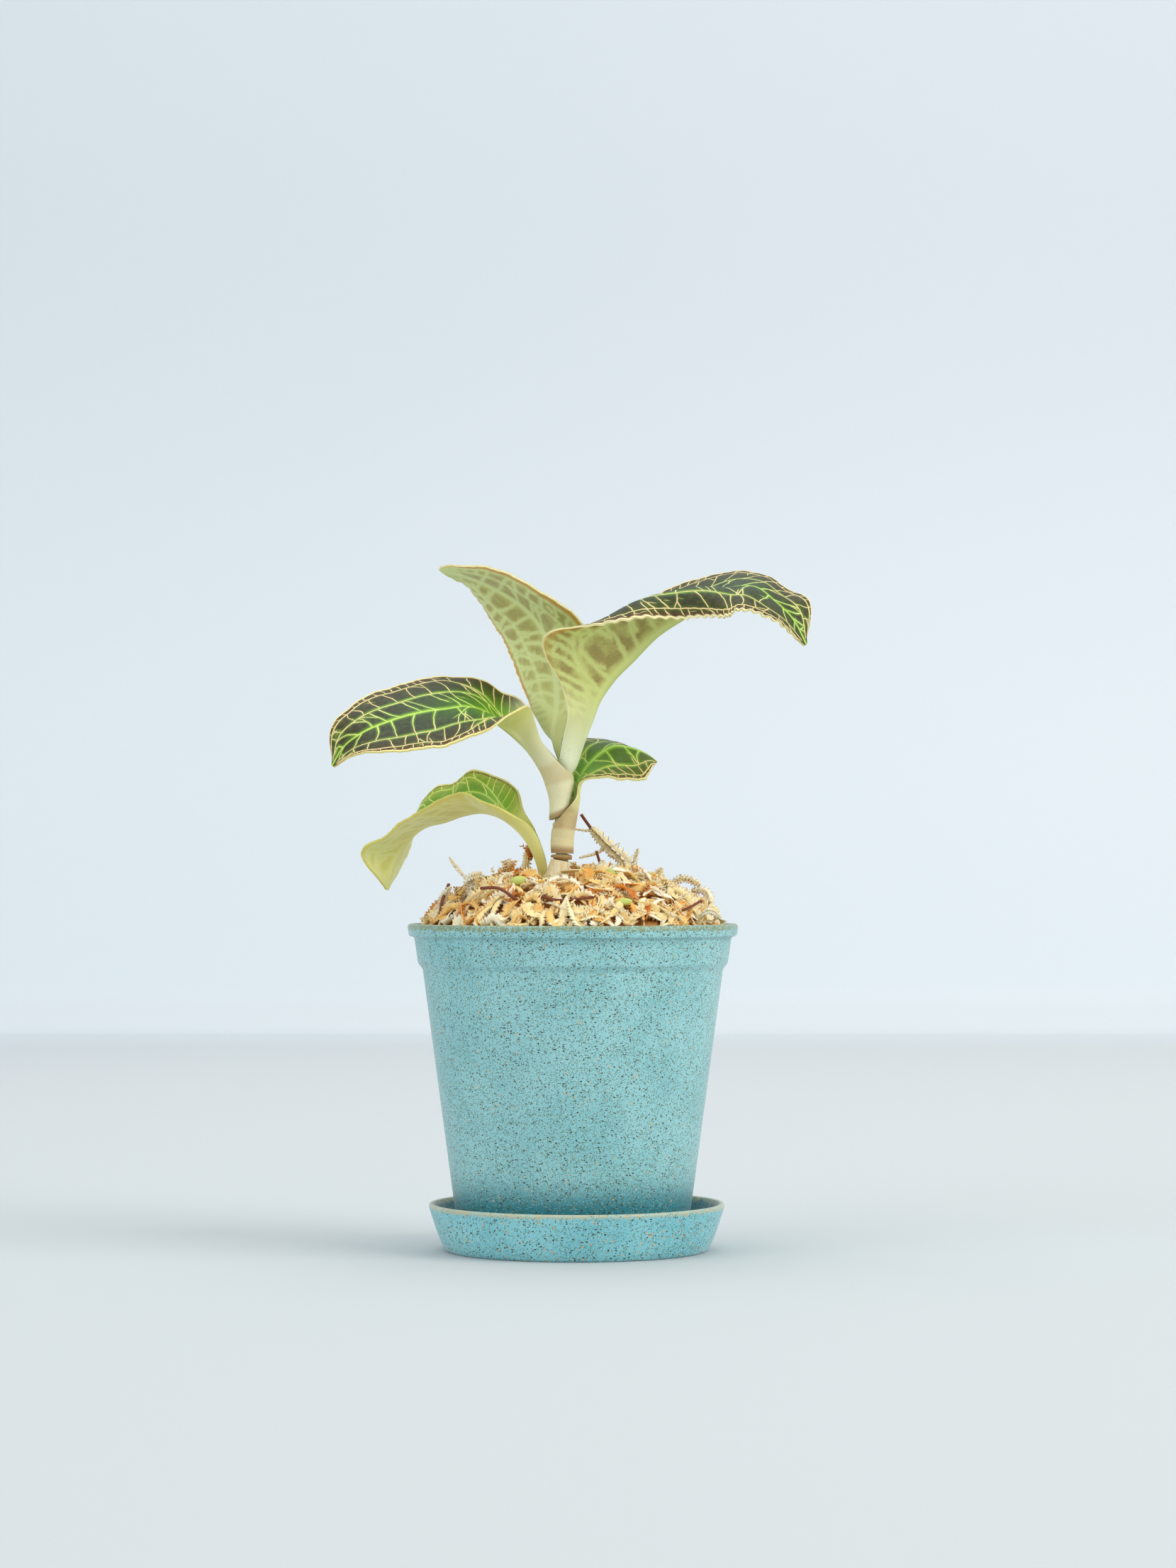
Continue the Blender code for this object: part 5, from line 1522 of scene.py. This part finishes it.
# %% Build the moss
STALKS = [
    # path, radius
    ([(-26.8, -8.5, 77.4), (-28.0, -10.5, 74.2), (-28.8, -11.5, 69.8)], 0.34),
    ([(-19.8, -20.0, 76.6), (-16.0, -22.5, 76.6), (-12.5, -23.6, 74.4), (-10.0, -23.0, 73.0)],
     0.33),
    ([(-8.0, -24.6, 75.0), (-3.0, -26.2, 74.2), (4.0, -25.2, 74.9)], 0.28),
    ([(20.5, -18.5, 71.6), (23.0, -18.5, 72.4), (26.0, -16.0, 74.0)], 0.3),
    ([(3.1, 12.5, 89.2), (1.8, 12.5, 91.0), (0.9, 12.5, 92.3)], 0.34),
    ([(5.6, 9.0, 80.0), (4.6, 8.0, 83.0), (4.2, 8.0, 84.4)], 0.3),
]
TUFTS = [
    # place, group
    ((13.4, -15.5, 76.9), "orange"), ((11.7, -9.0, 79.0), "orange"),
    ((-0.2, -13.0, 79.0), "orange"), ((-9.9, 5.5, 85.2), "orange"),
    ((5.3, -3.5, 81.4), "straw"), ((7.9, 2.0, 80.4), "straw"), ((-14.2, -5.0, 81.8), "straw"),
    ((-20.6, -12.0, 79.0), "cream"), ((-17.0, -6.0, 80.4), "straw"),
    ((-24.6, -10.0, 76.4), "straw"), ((20.0, -14.0, 74.6), "cream"),
    ((9.0, -18.0, 75.8), "cream"),
]
GREEN_BITS = [
    # place, radius, half length
    ((-12.0, -17.5, 78.2), 1.0, 1.7), ((7.2, -12.0, 79.4), 1.3, 1.4),
    ((9.8, -24.5, 73.8), 0.8, 1.7),
]
GROUPS, SHARES = ("cream", "straw", "orange"), (5, 4.5, 1.6)
SPRIG_SEED = 5
SCRAPS, LOOSE_SPRIGS, WHITE_STRIPS = 600, 55, 110
SCRAP_CLEAR, SPRIG_CLEAR = 4.2, 4.4         # how far they stay from the stem


def build_sprigs():
    rng = random.Random(SPRIG_SEED)
    groups = {name: Collector() for name in (*GROUPS, "bark", "green")}
    for points, width in LONG_STRANDS:
        path = smooth_path(points, 14)
        add_sprig(groups["cream"], rng, path, width * 0.6, 0.1, slim=0.5)
        for _ in range(3):
            add_flake(groups["cream"], rng, path, width, rng.uniform(0.05, 0.5), torn=0.75)
    for points, width in packed_strands():
        group = groups[rng.choices(GROUPS, SHARES)[0]]
        add_flake(group, rng, smooth_path(points, 9), width * 2.3, rng.uniform(0.0, 0.6), torn=0.6)
    for place, name in TUFTS:
        for _ in range(4):
            lean = Vector((rng.uniform(-1.3, 1.3), rng.uniform(-1.3, 1.3), 0.0))
            foot = Vector(place) - Vector((0.0, 0.0, 2.6))
            points = [foot, foot + lean * 0.6 + Vector((0, 0, 1.5)),
                      foot + lean * 1.5 + Vector((0, 0, 2.8))]
            add_sprig(groups[name], rng, smooth_path(points, 6), rng.uniform(0.9, 1.3),
                      rng.uniform(0.2, 0.7))
    for k in range(SCRAPS):
        points = small_strand(rng, 4.0, 9.0, 1.8, 27.5 if k % 4 == 0 else 0.0)
        if clear_of_stem(points, SCRAP_CLEAR):
            group = groups[rng.choices(GROUPS, SHARES)[0]]
            add_flake(group, rng, points, rng.uniform(1.2, 2.6), rng.uniform(0.0, 0.9), torn=0.62)
    for _ in range(LOOSE_SPRIGS):
        points = small_strand(rng, 2.5, 5.5, 2.4)
        if clear_of_stem(points, SPRIG_CLEAR):
            group = groups[rng.choices(GROUPS, SHARES)[0]]
            add_sprig(group, rng, smooth_path(points, 7), rng.uniform(1.1, 2.1),
                      rng.uniform(0.0, 0.8))
    for _ in range(WHITE_STRIPS):
        points = small_strand(rng, 4.0, 9.0, 2.6)
        if clear_of_stem(points, SPRIG_CLEAR):
            add_flake(groups["cream"], rng, points, rng.uniform(0.6, 1.1), 0.0, torn=0.2,
                      thick=0.08)
    for points, radius in STALKS:
        add_tube(groups["bark"], smooth_path(points, 14), np.full(14, radius), sides=8, tone=0.5,
                 deep=0.0)
    for place, radius, length in GREEN_BITS:
        middle = np.array(place)
        path = [middle + np.array((u * length, 0.2 * u, 0.15 * u)) for u in np.linspace(-1, 1, 9)]
        radii = radius * np.sqrt(np.clip(1 - np.linspace(-0.97, 0.97, 9) ** 2, 0.02, 1))
        add_tube(groups["green"], np.array(path), radii, sides=14, tone=0.4, deep=0.0)
    return groups


MOSS_TONES = {
    "cream": (srgb(255, 243, 210), srgb(253, 230, 168), srgb(244, 198, 116)),
    "straw": (srgb(254, 230, 172), srgb(244, 196, 114), srgb(214, 142, 62)),
    "orange": (srgb(246, 180, 90), srgb(222, 134, 46), srgb(172, 84, 24)),
    "bark": (srgb(150, 84, 46), srgb(116, 58, 32), srgb(84, 40, 24)),
    "green": (srgb(216, 222, 140), srgb(186, 200, 104), srgb(150, 170, 70)),
}
# The last colour given to moss_finish is the painted shade.
for name, collector in build_sprigs().items():
    finish = moss_finish("moss " + name, MOSS_TONES[name], srgb(170, 100, 42))
    sprigs = collector.make("moss_" + name, [finish])
    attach(sprigs, "root")
    print(sprigs.name, len(sprigs.data.polygons), "faces")
# The mound's last colour is its painted shade.
mound = build_mound(moss_finish("moss mound", MOSS_TONES["straw"], srgb(150, 88, 38)))
